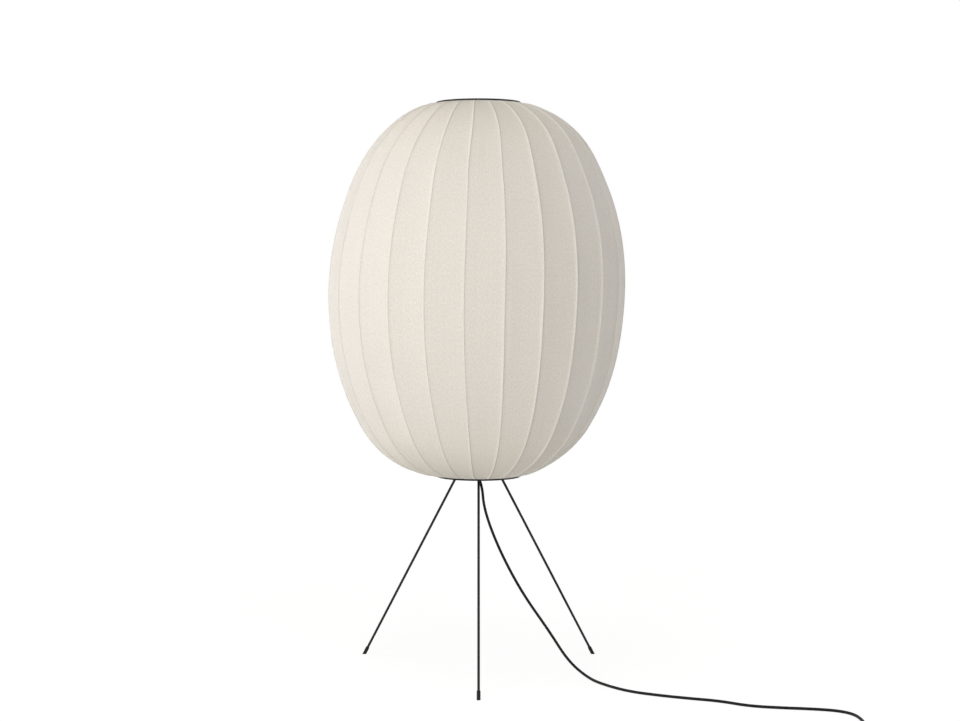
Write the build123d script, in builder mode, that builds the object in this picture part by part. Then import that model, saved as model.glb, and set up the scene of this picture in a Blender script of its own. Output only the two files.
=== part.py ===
from build123d import *
import math
import os

# Knitted floor lamp: a ribbed balloon-shaped shade of white knit over bent rods, between two black
# wire rings, on a tripod of thin black rods, with a black textile cord.
# Millimetres, +Z up. The origin is on the floor on the lamp's axis, the front leg points to -Y.

os.makedirs("parts", exist_ok=True)

# Stand
leg_angle = 30.3  # tilt of each leg from the vertical, degrees
leg_azimuths = {"front": -90.0, "back_right": 30.0, "back_left": 150.0}
leg_diameter = 5.5
leg_thread = 5.0  # diameter of the thread at the leg's upper end
leg_thread_grip = 11.0  # length of thread inside the hub
seat_height = 466.0  # where a leg's axis meets the hub's cone
seat_radius = 28.7
lock_nut_width = 8.0  # across flats
lock_nut_height = 4.0
spot_face_depth = 1.0
spot_face_clearance = 0.6
thread_clearance = 0.05  # between a thread and its hole, on the radius
thread_hole_spare = 0.5  # hole past the end of a leg's thread

foot_diameter = 8.0
foot_grip = 15.0  # length of leg inside the rubber foot
foot_sole = 2.0  # rubber under the leg's lowest point
foot_clearance = 0.05
foot_edge = 0.6

hub_flat_radius = 12.0  # flat underside round the cord outlet
hub_rim = 9.5  # hub past the legs' seats
hub_edge = 9.0  # height of the hub's cylindrical edge
hub_chamfer = 1.5

# Cord outlet under the hub
stem_diameter = 10.0
stem_bore = 7.4
gland_flange_radius = 11.0
gland_flange_height = 2.5
gland_spigot_length = 8.0
gland_root_radius = 6.5
gland_tip_radius = 4.4
gland_tail_length = 17.7

# Lampholder
stem_grip_in_hub = 12.0
stem_above_hub = 11.4
holder_neck_radius = 8.0
holder_neck_length = 8.0
holder_radius = 20.0
holder_wall = 2.0
cap_cone_height = 8.0
cap_rim_height = 10.0
shell_spigot_length = 6.0
shell_skirt_height = 9.5
flange_radius = 23.5
flange_height = 2.5
shell_thread_height = 35.5
insert_radius = 16.4
insert_height = 24.0
insert_wire_hole = 2.2
slip = 0.2  # clearance between pieces that slide together, on the radius
socket_bore_radius = 13.5
socket_wall = 0.7
socket_height = 24.0
contact_radius = 4.0
contact_height = 1.6
cord_past_stem = 2.0  # sheath of the inner cord past the stem's end

# Bulb
bulb_base_radius = 13.2
bulb_base_height = 22.0
bulb_tip_height = 4.0
bulb_base_edge = 2.0
bulb_neck_radius = 12.4
bulb_globe_radius = 47.5
bulb_neck_length = 20.0
bulb_glass_wall = 1.2

# Shade frame
ring_radius = 91.5  # to the middle of the wire
ring_wire = 5.0
spider_wire = 4.0
spider_drop = 105.5  # from the lampholder's flange down to the ring
spider_azimuths = (90.0, -30.0, 210.0)
eye_outer_radius = 31.0
eye_thickness = 1.5
ring_nut_radius = 27.0
ring_nut_height = 6.0
ring_nut_edge = 0.8
spider_head_drop = 0.2  # end of a raised wire's axis below the eye's underside

# Ribs and knit
rib_count = 24
rib_azimuth = -94.65  # one rib stands just left of the front leg
rod_diameter = 3.0
shade_radius = 325.0  # over the ribs, at the middle
shade_height = 815.0  # knit, from mouth to mouth
flank_radius = 618.0  # long arc of a rib's outline
shoulder_radius = 215.0  # short arc of a rib's outline, above and below
knit_end_radius = 96.5  # over the ribs, at the mouths
knit_thickness = 2.0
panel_sag = 3.0  # how far a panel draws in behind its chord, at the middle
mouth_gap = 0.3  # between the knit's edge and the ring
ring_past_knit = 1.5  # the ring's middle stands this far past the knit
rib_cap_radius = 2.1
rib_cap_grip = 6.0
rib_cap_knit_gap = 0.35
rib_cap_bore_gap = 0.2
rib_cap_post_radius = 2.0
rib_cap_saddle_gap = 0.1
shoulder_steps = 8
flank_steps = 8

# Cord
cord_diameter = 6.0
core_diameter = 2.0
core_spacing = 3.0

# Foot switch
switch_x = 592.0
switch_y = -626.0
switch_length = 92.0
switch_width = 40.0
switch_corner = 18.0
switch_parting = 8.0
switch_height = 19.0
switch_wall = 2.0
switch_edge = 3.5
button_radius = 15.0
button_top = 25.0
button_flange = 2.0  # how far the button's hidden flange reaches past its cap
button_flange_height = 2.0
button_wall = 2.0
button_edge = 2.5
button_roof = 3.0
button_skirt_spare = 0.3  # between the hidden flange and the cover's roof
button_gap = 0.3
button_travel = 3.0
button_stem_radius = 3.2
spring_radius = 5.0
spring_wire = 0.9
spring_turns = 3
spring_seat = 3.0  # height of the spring's foot
spring_length = 9.6
switch_block_length = 8.0
cord_in_switch = 8.0
entry_clearance = 0.2
screw_x = 26.0
screw_y = 12.5
screw_boss_radius = 3.2
screw_radius = 1.25
screw_head_radius = 2.4
screw_head_height = 1.6
screw_head_recess = 0.6
screw_end_gap = 1.0  # between a screw's end and the bottom of its hole
contact_length = 7.0
contact_width = 4.0
contact_thickness = 0.8

# Coil of the spare cord, its tie and the plug
coil_x = 478.0
coil_rise = 4.1  # height of the lower layer's centreline
coil_mean_radius = 34.0
coil_gap = 0.6  # between neighbouring turns
coil_half_turns = 4  # in each of the two layers
tie_width = 7.0
tie_thickness = 0.6
tie_clearance = 0.4
tie_edge = 0.3
plug_x = 590.0
plug_y = -574.5
plug_relief_length = 20.0
plug_relief_tip = 3.9
plug_relief_root = 5.6
plug_length = 33.0
plug_flare = 15.0  # length over which the plug widens from its waist
plug_corner = 3.0
plug_edge = 1.2
plug_relief_sunk = 1.0
plug_width = 35.0
plug_waist = 16.0
plug_height = 13.6
plug_pin_spacing = 18.6
plug_pin_radius = 2.0
plug_pin_length = 19.0
plug_pin_grip = 9.0
plug_pin_fit = 0.02
plug_pin_tip = 1.2


def write(piece, name):
    """Labels a finished piece and writes its STEP file."""
    piece.part.label = name
    export_step(piece.part, f"parts/{name}.step")


def radial_plane(azimuth, origin=(0, 0, 0)):
    """A standing plane through the axis: its x runs outwards, its y up."""
    a = math.radians(azimuth)
    return Plane(origin=origin, x_dir=(math.cos(a), math.sin(a), 0), z_dir=(math.sin(a), -math.cos(a), 0))


def half_section(*points):
    """A closed outline of (radius, height) points, to be revolved about the lamp's axis."""
    with BuildSketch(Plane.XZ) as section:
        with BuildLine():
            Polyline(*points, close=True)
        make_face()
    return section.sketch


# Legs, hub and feet
tilt = math.radians(leg_angle)
hub_bottom = seat_height - (seat_radius - hub_flat_radius) * math.tan(tilt)
hub_radius = seat_radius + hub_rim
hub_cone_top = seat_height + hub_rim * math.tan(tilt)
hub_top = hub_cone_top + hub_edge
leg_to_floor = seat_height / math.cos(tilt)
leg_end = leg_to_floor - (foot_sole + leg_diameter / 2 * math.sin(tilt)) / math.cos(tilt)
foot_start = leg_end - foot_grip


def leg_plane(azimuth, along=0.0):
    """The plane across a leg, at a distance along it from the hub's cone; z runs down the leg."""
    a = math.radians(azimuth)
    out = Vector(math.cos(a), math.sin(a), 0)
    down = out * math.sin(tilt) + Vector(0, 0, -math.cos(tilt))
    seat = out * seat_radius + Vector(0, 0, seat_height)
    return Plane(origin=seat + down * along, x_dir=(-math.sin(a), math.cos(a), 0), z_dir=down)


nut_seats = [leg_plane(a, -spot_face_depth) for a in leg_azimuths.values()]
thread_top = -spot_face_depth - leg_thread_grip
lock_nut_corner = lock_nut_width / math.sqrt(3)
shoulder_at = lock_nut_height - spot_face_depth

with BuildPart() as leg_hub:
    revolve(
        half_section(
            (0, hub_bottom),
            (hub_flat_radius, hub_bottom),
            (hub_radius, hub_cone_top),
            (hub_radius, hub_top),
            (0, hub_top),
        ),
        axis=Axis.Z,
    )
    chamfer(leg_hub.edges().group_by(Axis.Z)[-1], length=hub_chamfer)
    with BuildSketch(*nut_seats):
        Circle(lock_nut_corner + spot_face_clearance)
    extrude(amount=2 * hub_rim, mode=Mode.SUBTRACT)
    with BuildSketch(*nut_seats):
        Circle(leg_thread / 2 + thread_clearance)
    extrude(amount=-leg_thread_grip - thread_hole_spare, mode=Mode.SUBTRACT)
    with BuildSketch(Plane.XY.offset(hub_bottom)):
        Circle(stem_diameter / 2 + thread_clearance)
    extrude(amount=hub_top - hub_bottom, mode=Mode.SUBTRACT)
write(leg_hub, "leg_hub")

for side, azimuth in leg_azimuths.items():
    with BuildPart() as leg:
        with BuildSketch(leg_plane(azimuth, shoulder_at)):
            Circle(leg_diameter / 2)
        extrude(amount=leg_end - shoulder_at)
        with BuildSketch(leg_plane(azimuth, thread_top)):
            Circle(leg_thread / 2)
        extrude(amount=shoulder_at - thread_top)
    write(leg, f"leg_{side}")

    with BuildPart() as foot:
        with BuildSketch(leg_plane(azimuth, foot_start)):
            Circle(foot_diameter / 2)
        extrude(amount=foot_grip + foot_diameter + foot_sole)
        chamfer(foot.edges().group_by(Axis.Z)[-1], length=foot_edge)
        with BuildSketch(leg_plane(azimuth, foot_start)):
            Circle(leg_diameter / 2 + foot_clearance)
        extrude(amount=foot_grip, mode=Mode.SUBTRACT)
        split(bisect_by=Plane.XY, keep=Keep.TOP)
    write(foot, f"foot_{side}")

with BuildPart() as leg_lock_nuts:
    with BuildSketch(*nut_seats):
        RegularPolygon(radius=lock_nut_corner, side_count=6)
        Circle(leg_thread / 2 + thread_clearance, mode=Mode.SUBTRACT)
    extrude(amount=lock_nut_height)
write(leg_lock_nuts, "leg_lock_nuts")

# Cord gland under the hub
gland_bottom = hub_bottom - gland_flange_height
cord_exit = gland_bottom - gland_tail_length
gland_bore = cord_diameter / 2 + entry_clearance

with BuildPart() as cord_gland:
    revolve(
        half_section(
            (gland_bore, cord_exit),
            (gland_tip_radius, cord_exit),
            (gland_root_radius, gland_bottom),
            (gland_flange_radius, gland_bottom),
            (gland_flange_radius, hub_bottom),
            (stem_diameter / 2, hub_bottom),
            (stem_diameter / 2, hub_bottom + gland_spigot_length),
            (gland_bore, hub_bottom + gland_spigot_length),
        ),
        axis=Axis.Z,
    )
write(cord_gland, "cord_gland")

# Stem between the hub and the lampholder
neck_bottom = hub_top + stem_above_hub
stem_top = neck_bottom + holder_neck_length

with BuildPart() as stem_tube:
    with BuildSketch(Plane.XY.offset(hub_top - stem_grip_in_hub)):
        Circle(stem_diameter / 2)
        Circle(stem_bore / 2, mode=Mode.SUBTRACT)
    extrude(amount=stem_top - hub_top + stem_grip_in_hub)
write(stem_tube, "stem_tube")

# Lampholder: cap below, shell with its flange above, insert and contacts inside
cap_cone_top = neck_bottom + holder_neck_length + cap_cone_height
cap_top = cap_cone_top + cap_rim_height
cap_bore = holder_radius - holder_wall

with BuildPart() as holder_cap:
    revolve(
        half_section(
            (stem_diameter / 2 + thread_clearance, neck_bottom),
            (holder_neck_radius, neck_bottom),
            (holder_neck_radius, stem_top - holder_wall),
            (holder_radius, cap_cone_top),
            (holder_radius, cap_top),
            (cap_bore, cap_top),
            (cap_bore, cap_cone_top + holder_wall),
            (stem_diameter / 2 + thread_clearance, stem_top),
        ),
        axis=Axis.Z,
    )
write(holder_cap, "holder_cap")

shell_spigot_radius = cap_bore - slip / 2
flange_bottom = cap_top + shell_skirt_height
eye_bottom = flange_bottom + flange_height
shell_top = eye_bottom + shell_thread_height
spigot_bottom = cap_top - shell_spigot_length
insert_bottom = spigot_bottom
insert_top = insert_bottom + insert_height
socket_outer_radius = socket_bore_radius + socket_wall
shell_throat_radius = socket_outer_radius + slip

with BuildPart() as holder_shell:
    revolve(
        half_section(
            (insert_radius + slip, spigot_bottom),
            (shell_spigot_radius, spigot_bottom),
            (shell_spigot_radius, cap_top),
            (holder_radius, cap_top),
            (holder_radius, flange_bottom),
            (flange_radius, flange_bottom),
            (flange_radius, eye_bottom),
            (holder_radius, eye_bottom),
            (holder_radius, shell_top),
            (shell_throat_radius, shell_top),
            (shell_throat_radius, insert_top),
            (insert_radius + slip, insert_top),
        ),
        axis=Axis.Z,
    )
write(holder_shell, "holder_shell")

with BuildPart() as holder_insert:
    with BuildSketch(Plane.XY.offset(insert_bottom)):
        Circle(insert_radius)
    extrude(amount=insert_height)
    with BuildSketch(Plane.XY.offset(insert_bottom)):
        with Locations((-core_spacing / 2, 0), (core_spacing / 2, 0)):
            Circle(insert_wire_hole / 2)
    extrude(amount=insert_height / 2, mode=Mode.SUBTRACT)
write(holder_insert, "holder_insert")

# Screw shell and centre contact, each standing on the insert
with BuildPart() as holder_contacts:
    with BuildSketch(Plane.XY.offset(insert_top)):
        Circle(socket_outer_radius)
        Circle(socket_bore_radius, mode=Mode.SUBTRACT)
    extrude(amount=socket_height)
    with BuildSketch(Plane.XY.offset(insert_top)):
        Circle(contact_radius)
    extrude(amount=contact_height)
write(holder_contacts, "holder_contacts")

# Bulb, screwed in until its tip meets the centre contact
bulb_tip = insert_top + contact_height
bulb_shell_bottom = bulb_tip + bulb_tip_height
bulb_shell_top = bulb_shell_bottom + bulb_base_height
globe_height = bulb_shell_top + bulb_neck_length + math.sqrt(bulb_globe_radius**2 - bulb_neck_radius**2)
glass_inner = bulb_globe_radius - bulb_glass_wall
neck_inner = bulb_neck_radius - bulb_glass_wall

with BuildPart() as bulb_base:
    revolve(
        half_section(
            (0, bulb_tip),
            (contact_radius, bulb_tip),
            (bulb_base_radius - bulb_base_edge, bulb_shell_bottom),
            (bulb_base_radius, bulb_shell_bottom + bulb_base_edge),
            (bulb_base_radius, bulb_shell_top),
            (0, bulb_shell_top),
        ),
        axis=Axis.Z,
    )
write(bulb_base, "bulb_base")

with BuildPart() as bulb_globe:
    with BuildSketch(Plane.XY.offset(bulb_shell_top)):
        Circle(bulb_neck_radius)
    extrude(amount=globe_height - bulb_shell_top)
    with Locations((0, 0, globe_height)):
        Sphere(bulb_globe_radius)
    with BuildSketch(Plane.XY.offset(bulb_shell_top)):
        Circle(neck_inner)
    extrude(amount=globe_height - bulb_shell_top, mode=Mode.SUBTRACT)
    with Locations((0, 0, globe_height)):
        Sphere(glass_inner, mode=Mode.SUBTRACT)
write(bulb_globe, "bulb_globe")

# Wiring inside the stand: the cord up to the lampholder, its two cores into the insert
cord_top = stem_top + cord_past_stem

with BuildPart() as inner_cord:
    with BuildSketch(Plane.XY.offset(cord_exit)):
        Circle(cord_diameter / 2)
    extrude(amount=cord_top - cord_exit)
    with BuildSketch(Plane.XY.offset(cord_top)):
        with Locations((-core_spacing / 2, 0), (core_spacing / 2, 0)):
            Circle(core_diameter / 2)
    extrude(amount=insert_bottom + insert_height / 2 - cord_top)
write(inner_cord, "inner_cord")

# Wire rings: the lower one hangs from its eye on the lampholder by three raised wires
ring_low = eye_bottom - spider_drop
knit_low = ring_low + ring_past_knit
knit_high = knit_low + shade_height
ring_high = knit_high + ring_past_knit
knit_middle = (knit_low + knit_high) / 2
mouth_radius = ring_radius + ring_wire / 2 + mouth_gap
wire_top_radius = eye_outer_radius - spider_wire / 2
wire_top = eye_bottom - spider_head_drop

with BuildPart() as top_ring:
    with BuildSketch(Plane.XZ):
        with Locations((ring_radius, ring_high)):
            Circle(ring_wire / 2)
    revolve(axis=Axis.Z)
write(top_ring, "top_ring")

with BuildPart() as bottom_ring:
    with BuildSketch(Plane.XZ):
        with Locations((ring_radius, ring_low)):
            Circle(ring_wire / 2)
    revolve(axis=Axis.Z)
    with BuildSketch(Plane.XY.offset(eye_bottom)):
        Circle(eye_outer_radius)
    extrude(amount=eye_thickness)
    for azimuth in spider_azimuths:
        a = math.radians(azimuth)
        foot_of_wire = Vector(ring_radius * math.cos(a), ring_radius * math.sin(a), ring_low)
        head_of_wire = Vector(wire_top_radius * math.cos(a), wire_top_radius * math.sin(a), wire_top)
        wire = head_of_wire - foot_of_wire
        with BuildSketch(Plane(origin=foot_of_wire, z_dir=wire)):
            Circle(spider_wire / 2)
        extrude(amount=wire.length)
    with BuildSketch(Plane.XY.offset(eye_bottom)):
        Circle(holder_radius + slip)
    extrude(amount=eye_thickness, mode=Mode.SUBTRACT)
write(bottom_ring, "bottom_ring")

with BuildPart() as shade_ring_nut:
    with BuildSketch(Plane.XY.offset(eye_bottom + eye_thickness)):
        Circle(ring_nut_radius)
        Circle(holder_radius + thread_clearance, mode=Mode.SUBTRACT)
    extrude(amount=ring_nut_height)
    chamfer(shade_ring_nut.edges().group_by(Axis.Z)[-1].sort_by(SortBy.RADIUS)[-1], length=ring_nut_edge)
write(shade_ring_nut, "shade_ring_nut")

# Outline of a rib: a long flank arc with a shorter tangent shoulder arc at each end
half_height = shade_height / 2
flank_centre = shade_radius - flank_radius
reach = math.hypot(knit_end_radius - flank_centre, half_height)
step = flank_radius - shoulder_radius
along = (reach**2 + step**2 - shoulder_radius**2) / (2 * step)
join_angle = math.atan2(half_height, knit_end_radius - flank_centre) - math.acos(along / reach)
shoulder_centre = flank_centre + step * math.cos(join_angle)
shoulder_rise = step * math.sin(join_angle)
end_angle = math.acos((knit_end_radius - shoulder_centre) / shoulder_radius)
print("rib arcs join at", round(math.degrees(join_angle), 2), "and end at", round(math.degrees(end_angle), 2))


def outline_point(angle, depth):
    """Radius and height of the rib's outline at an angle from the horizontal, a depth inside it."""
    if abs(angle) <= join_angle:
        return (
            flank_centre + (flank_radius - depth) * math.cos(angle),
            knit_middle + (flank_radius - depth) * math.sin(angle),
        )
    side = math.copysign(1, angle)
    return (
        shoulder_centre + (shoulder_radius - depth) * math.cos(angle),
        knit_middle + side * shoulder_rise + (shoulder_radius - depth) * math.sin(angle),
    )


shoulder_step = (end_angle - join_angle) / shoulder_steps
stations = [-end_angle + i * shoulder_step for i in range(shoulder_steps)]
stations += [-join_angle + i * 2 * join_angle / flank_steps for i in range(flank_steps)]
stations += [join_angle + i * shoulder_step for i in range(shoulder_steps + 1)]
rib_pitch = 360 / rib_count


def knit_section(angle, depth):
    """One level of the knit: panels that draw in between the ribs."""
    radius, height = outline_point(angle, depth)
    sag = panel_sag * radius / shade_radius
    middle = radius * math.cos(math.radians(rib_pitch / 2)) - sag

    def at(r, azimuth):
        return (r * math.cos(math.radians(azimuth)), r * math.sin(math.radians(azimuth)))

    with BuildSketch(Plane.XY.offset(height)) as section:
        with BuildLine():
            for i in range(rib_count):
                start = rib_azimuth + i * rib_pitch
                ThreePointArc(
                    at(radius, start), at(middle, start + rib_pitch / 2), at(radius, start + rib_pitch)
                )
        make_face()
    return section.sketch


with BuildPart() as knitted_shade:
    loft([knit_section(station, 0) for station in stations])
    loft([knit_section(station, knit_thickness) for station in stations], mode=Mode.SUBTRACT)
    with BuildSketch(Plane.XY.offset(knit_low - knit_thickness)):
        Circle(mouth_radius)
    extrude(amount=shade_height + 2 * knit_thickness, mode=Mode.SUBTRACT)
write(knitted_shade, "knitted_shade")

# Rods inside the knit, one behind each ridge, with a cap at each end that seats on its ring
rod_depth = knit_thickness + rib_cap_radius + rib_cap_knit_gap
rib_azimuths = [rib_azimuth + i * rib_pitch for i in range(rib_count)]

for number, azimuth in enumerate(rib_azimuths, start=1):
    with BuildPart() as rib_rod:
        with BuildLine(radial_plane(azimuth)) as path:
            for side in (-1, 0, 1):
                radius = flank_radius if side == 0 else shoulder_radius
                start = {-1: -end_angle, 0: -join_angle, 1: join_angle}[side]
                sweep_angle = 2 * join_angle if side == 0 else end_angle - join_angle
                centre = (
                    flank_centre if side == 0 else shoulder_centre,
                    knit_middle + side * shoulder_rise,
                )
                CenterArc(
                    centre, radius - rod_depth, math.degrees(start), math.degrees(sweep_angle)
                )
        with BuildSketch(Plane(origin=path.wire() @ 0, z_dir=path.wire() % 0)):
            Circle(rod_diameter / 2)
        sweep(path=path.wire())
    write(rib_rod, f"rib_rod_{number:02d}")

rod_end_radius, rod_end_high = outline_point(end_angle, rod_depth)
rib_cap_reach = (rod_end_radius - ring_radius + rib_cap_post_radius) / math.sin(end_angle)
for end, side in (("top", 1), ("bottom", -1)):
    ring_height = ring_high if side > 0 else ring_low
    rod_end = knit_middle + side * (rod_end_high - knit_middle)
    post_foot = rod_end + side * (rod_end_radius - ring_radius) / math.tan(end_angle)
    sleeve_starts = []
    for azimuth in rib_azimuths:
        a = math.radians(azimuth)
        out = Vector(math.cos(a), math.sin(a), 0)
        inwards = out * -math.sin(end_angle) + Vector(0, 0, side * math.cos(end_angle))
        tip = out * rod_end_radius + Vector(0, 0, rod_end)
        sleeve_starts.append(Plane(origin=tip - inwards * rib_cap_grip, z_dir=inwards))
    with BuildPart() as rib_caps:
        with BuildSketch(*sleeve_starts):
            Circle(rib_cap_radius)
        extrude(amount=rib_cap_grip + rib_cap_reach)
        with BuildSketch(Plane.XY.offset(post_foot)):
            with PolarLocations(ring_radius, rib_count, start_angle=rib_azimuth):
                Circle(rib_cap_post_radius)
        extrude(amount=ring_height - post_foot)
        with BuildSketch(*sleeve_starts):
            Circle(rod_diameter / 2 + rib_cap_bore_gap)
        extrude(amount=rib_cap_grip, mode=Mode.SUBTRACT)
        with BuildSketch(Plane.XZ):
            with Locations((ring_radius, ring_height)):
                Circle(ring_wire / 2 + rib_cap_saddle_gap)
        revolve(axis=Axis.Z, mode=Mode.SUBTRACT)
    write(rib_caps, f"rib_caps_{end}")

# Cord from the gland to the foot switch: it hangs, lands right of the lamp and runs along the floor
lie = cord_diameter / 2
switch_right = switch_x + switch_length / 2
switch_left = switch_x - switch_length / 2
cord_route = [
    (0, 0, cord_exit),
    (0, 0, 420),
    (8.2, -2, 396),
    (11.2, -3, 357),
    (29.0, -7, 301),
    (60.4, -15, 232),
    (100.6, -27, 162),
    (153.0, -46, 91),
    (193.5, -76, 31),
    (235.5, -119, lie),
    (267.5, -182, lie),
    (311, -238, lie),
    (366, -272, lie),
    (429, -301, lie),
    (488, -323, lie),
    (541, -366, lie),
    (604, -381.5, lie),
    (664, -391, lie),
    (711, -405, lie),
    (738, -434, lie),
    (744, -480, lie),
    (742, -536, lie),
    (724, -588, lie),
    (694, -618, 4.5),
    (664, switch_y, switch_parting),
    (switch_right - cord_in_switch, switch_y, switch_parting),
]


def bend_radii(route):
    """The largest radius that each corner's two runs allow, with a tenth of a run to spare."""
    radii = []
    for before, corner, after in zip(route, route[1:], route[2:]):
        into = Vector(*corner) - Vector(*before)
        out_of = Vector(*after) - Vector(*corner)
        half_turn = math.radians(into.get_angle(out_of)) / 2
        radii.append(0.45 * min(into.length, out_of.length) / math.tan(half_turn))
    return radii


def laid_cord(route, name):
    """A cord along straight runs joined by tangent arcs."""
    radii = bend_radii(route)
    with BuildPart() as cord:
        with BuildLine() as path:
            FilletPolyline(*route, radius=radii)
        with BuildSketch(Plane(origin=path.wire() @ 0, z_dir=path.wire() % 0)):
            Circle(cord_diameter / 2)
        sweep(path=path.wire())
    length = path.wire().length
    section = math.pi * cord_diameter**2 / 4
    print(name, "length", round(length, 1), "tightest radius", round(min(radii), 1))
    print("  volume over section times length", round(cord.part.volume / section / length, 4))
    print("  radii", [round(r) for r in radii])
    write(cord, name)


laid_cord(cord_route, "supply_cord")

# Foot switch: base, cover, push button on a spring, contacts and screws
switch_ends = [(switch_left, -1), (switch_right, 1)]
roof = switch_height - switch_wall
button_bottom = roof - button_skirt_spare - button_flange_height
button_hole = button_radius + button_gap
screw_end = roof - switch_wall - screw_end_gap
screws = [(switch_x - screw_x, switch_y + screw_y), (switch_x + screw_x, switch_y - screw_y)]
block_centres = [
    (x - side * (cord_in_switch + switch_block_length / 2), switch_y) for x, side in switch_ends
]
entry_planes = [
    Plane(origin=(x, switch_y, switch_parting), z_dir=(-side, 0, 0)) for x, side in switch_ends
]

with BuildPart() as switch_base:
    with BuildSketch(Plane.XY):
        with Locations((switch_x, switch_y)):
            RectangleRounded(switch_length, switch_width, switch_corner)
    extrude(amount=switch_parting)
    with BuildSketch(Plane.XY.offset(switch_wall)):
        with Locations((switch_x, switch_y)):
            RectangleRounded(
                switch_length - 2 * switch_wall,
                switch_width - 2 * switch_wall,
                switch_corner - switch_wall,
            )
    extrude(amount=switch_parting - switch_wall, mode=Mode.SUBTRACT)
    with BuildSketch(Plane.XY.offset(switch_wall)):
        with Locations(*block_centres):
            Rectangle(switch_block_length, 2 * cord_diameter)
        with Locations(*screws):
            Circle(screw_boss_radius)
    extrude(amount=switch_parting - switch_wall)
    with BuildSketch(Plane.XY.offset(switch_wall)):
        with Locations((switch_x, switch_y)):
            Circle(spring_radius + spring_wire)
    extrude(amount=spring_seat - switch_wall)
    with BuildSketch(Plane.XY):
        with Locations(*screws):
            Circle(screw_head_radius + slip)
    extrude(amount=screw_head_recess + screw_head_height, mode=Mode.SUBTRACT)
    with BuildSketch(Plane.XY):
        with Locations(*screws):
            Circle(screw_radius + slip)
    extrude(amount=switch_parting, mode=Mode.SUBTRACT)
    with BuildSketch(*entry_planes):
        Circle(cord_diameter / 2 + entry_clearance)
    extrude(amount=cord_in_switch, mode=Mode.SUBTRACT)
write(switch_base, "switch_base")

with BuildPart() as switch_cover:
    with BuildSketch(Plane.XY.offset(switch_parting)):
        with Locations((switch_x, switch_y)):
            RectangleRounded(switch_length, switch_width, switch_corner)
    extrude(amount=switch_height - switch_parting)
    fillet(switch_cover.edges().group_by(Axis.Z)[-1], radius=switch_edge)
    with BuildSketch(Plane.XY.offset(switch_parting)):
        with Locations((switch_x, switch_y)):
            RectangleRounded(
                switch_length - 2 * switch_wall,
                switch_width - 2 * switch_wall,
                switch_corner - switch_wall,
            )
    extrude(amount=roof - switch_parting, mode=Mode.SUBTRACT)
    with BuildSketch(Plane.XY.offset(switch_parting)):
        with Locations(*screws):
            Circle(screw_boss_radius)
    extrude(amount=roof - switch_parting)
    with BuildSketch(Plane.XY.offset(switch_parting)):
        with Locations(*screws):
            Circle(screw_radius)
    extrude(amount=screw_end + screw_end_gap - switch_parting, mode=Mode.SUBTRACT)
    with BuildSketch(Plane.XY.offset(roof)):
        with Locations((switch_x, switch_y)):
            Circle(button_hole)
    extrude(amount=switch_wall, mode=Mode.SUBTRACT)
    with BuildSketch(*entry_planes):
        Circle(cord_diameter / 2 + entry_clearance)
    extrude(amount=cord_in_switch, mode=Mode.SUBTRACT)
write(switch_cover, "switch_cover")

with BuildPart() as switch_button:
    with BuildSketch(Plane.XY.offset(button_bottom)):
        with Locations((switch_x, switch_y)):
            Circle(button_radius)
    extrude(amount=button_top - button_bottom)
    fillet(switch_button.edges().group_by(Axis.Z)[-1], radius=button_edge)
    with BuildSketch(Plane.XY.offset(button_bottom)):
        with Locations((switch_x, switch_y)):
            Circle(button_radius + button_flange)
    extrude(amount=button_flange_height)
    with BuildSketch(Plane.XY.offset(button_bottom)):
        with Locations((switch_x, switch_y)):
            Circle(button_radius - button_wall)
    extrude(amount=button_top - button_bottom - button_roof, mode=Mode.SUBTRACT)
    with BuildSketch(Plane.XY.offset(spring_seat + spring_length)):
        with Locations((switch_x, switch_y)):
            Circle(spring_radius + spring_wire)
    extrude(amount=button_top - button_roof - spring_seat - spring_length)
    with BuildSketch(Plane.XY.offset(spring_seat + button_travel + button_gap)):
        with Locations((switch_x, switch_y)):
            Circle(button_stem_radius)
    extrude(amount=spring_length - button_travel)
write(switch_button, "switch_button")

# The spring's wire climbs in half turns, each a half circle in a tilted plane
spring_climb = (spring_length - spring_wire) / (2 * spring_turns)
spring_bulge = math.hypot(spring_radius, spring_climb / 2)
with BuildPart() as switch_spring:
    with BuildLine() as path:
        for i in range(2 * spring_turns):
            side = 1 if i % 2 == 0 else -1
            low = spring_seat + spring_wire / 2 + i * spring_climb
            ThreePointArc(
                (switch_x + side * spring_radius, switch_y, low),
                (switch_x, switch_y + side * spring_bulge, low + spring_climb / 2),
                (switch_x - side * spring_radius, switch_y, low + spring_climb),
            )
    with BuildSketch(Plane(origin=path.wire() @ 0, z_dir=path.wire() % 0)):
        Circle(spring_wire / 2)
    sweep(path=path.wire())
write(switch_spring, "switch_spring")

with BuildPart() as switch_contacts:
    with BuildSketch(Plane.XY.offset(switch_parting)):
        with Locations(*block_centres):
            Rectangle(contact_length, contact_width)
    extrude(amount=contact_thickness)
write(switch_contacts, "switch_contacts")

with BuildPart() as switch_screws:
    with BuildSketch(Plane.XY.offset(screw_head_recess)):
        with Locations(*screws):
            Circle(screw_head_radius)
    extrude(amount=screw_head_height)
    with BuildSketch(Plane.XY.offset(screw_head_recess)):
        with Locations(*screws):
            Circle(screw_radius)
    extrude(amount=screw_end - screw_head_recess)
write(switch_screws, "switch_screws")

# Coil of the spare cord: two layers, in and out again, climbing in one half turn between them
turn_step = (cord_diameter + coil_gap) / 2
layer_rise = cord_diameter + coil_gap
layer_radii = [
    coil_mean_radius + turn_step * ((coil_half_turns - 1) / 2 - i) for i in range(coil_half_turns)
]
climb_radius = layer_radii[-1] - turn_step
half_turns = layer_radii + [climb_radius] + layer_radii[::-1]
coil_y = switch_y + layer_radii[0]

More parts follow.
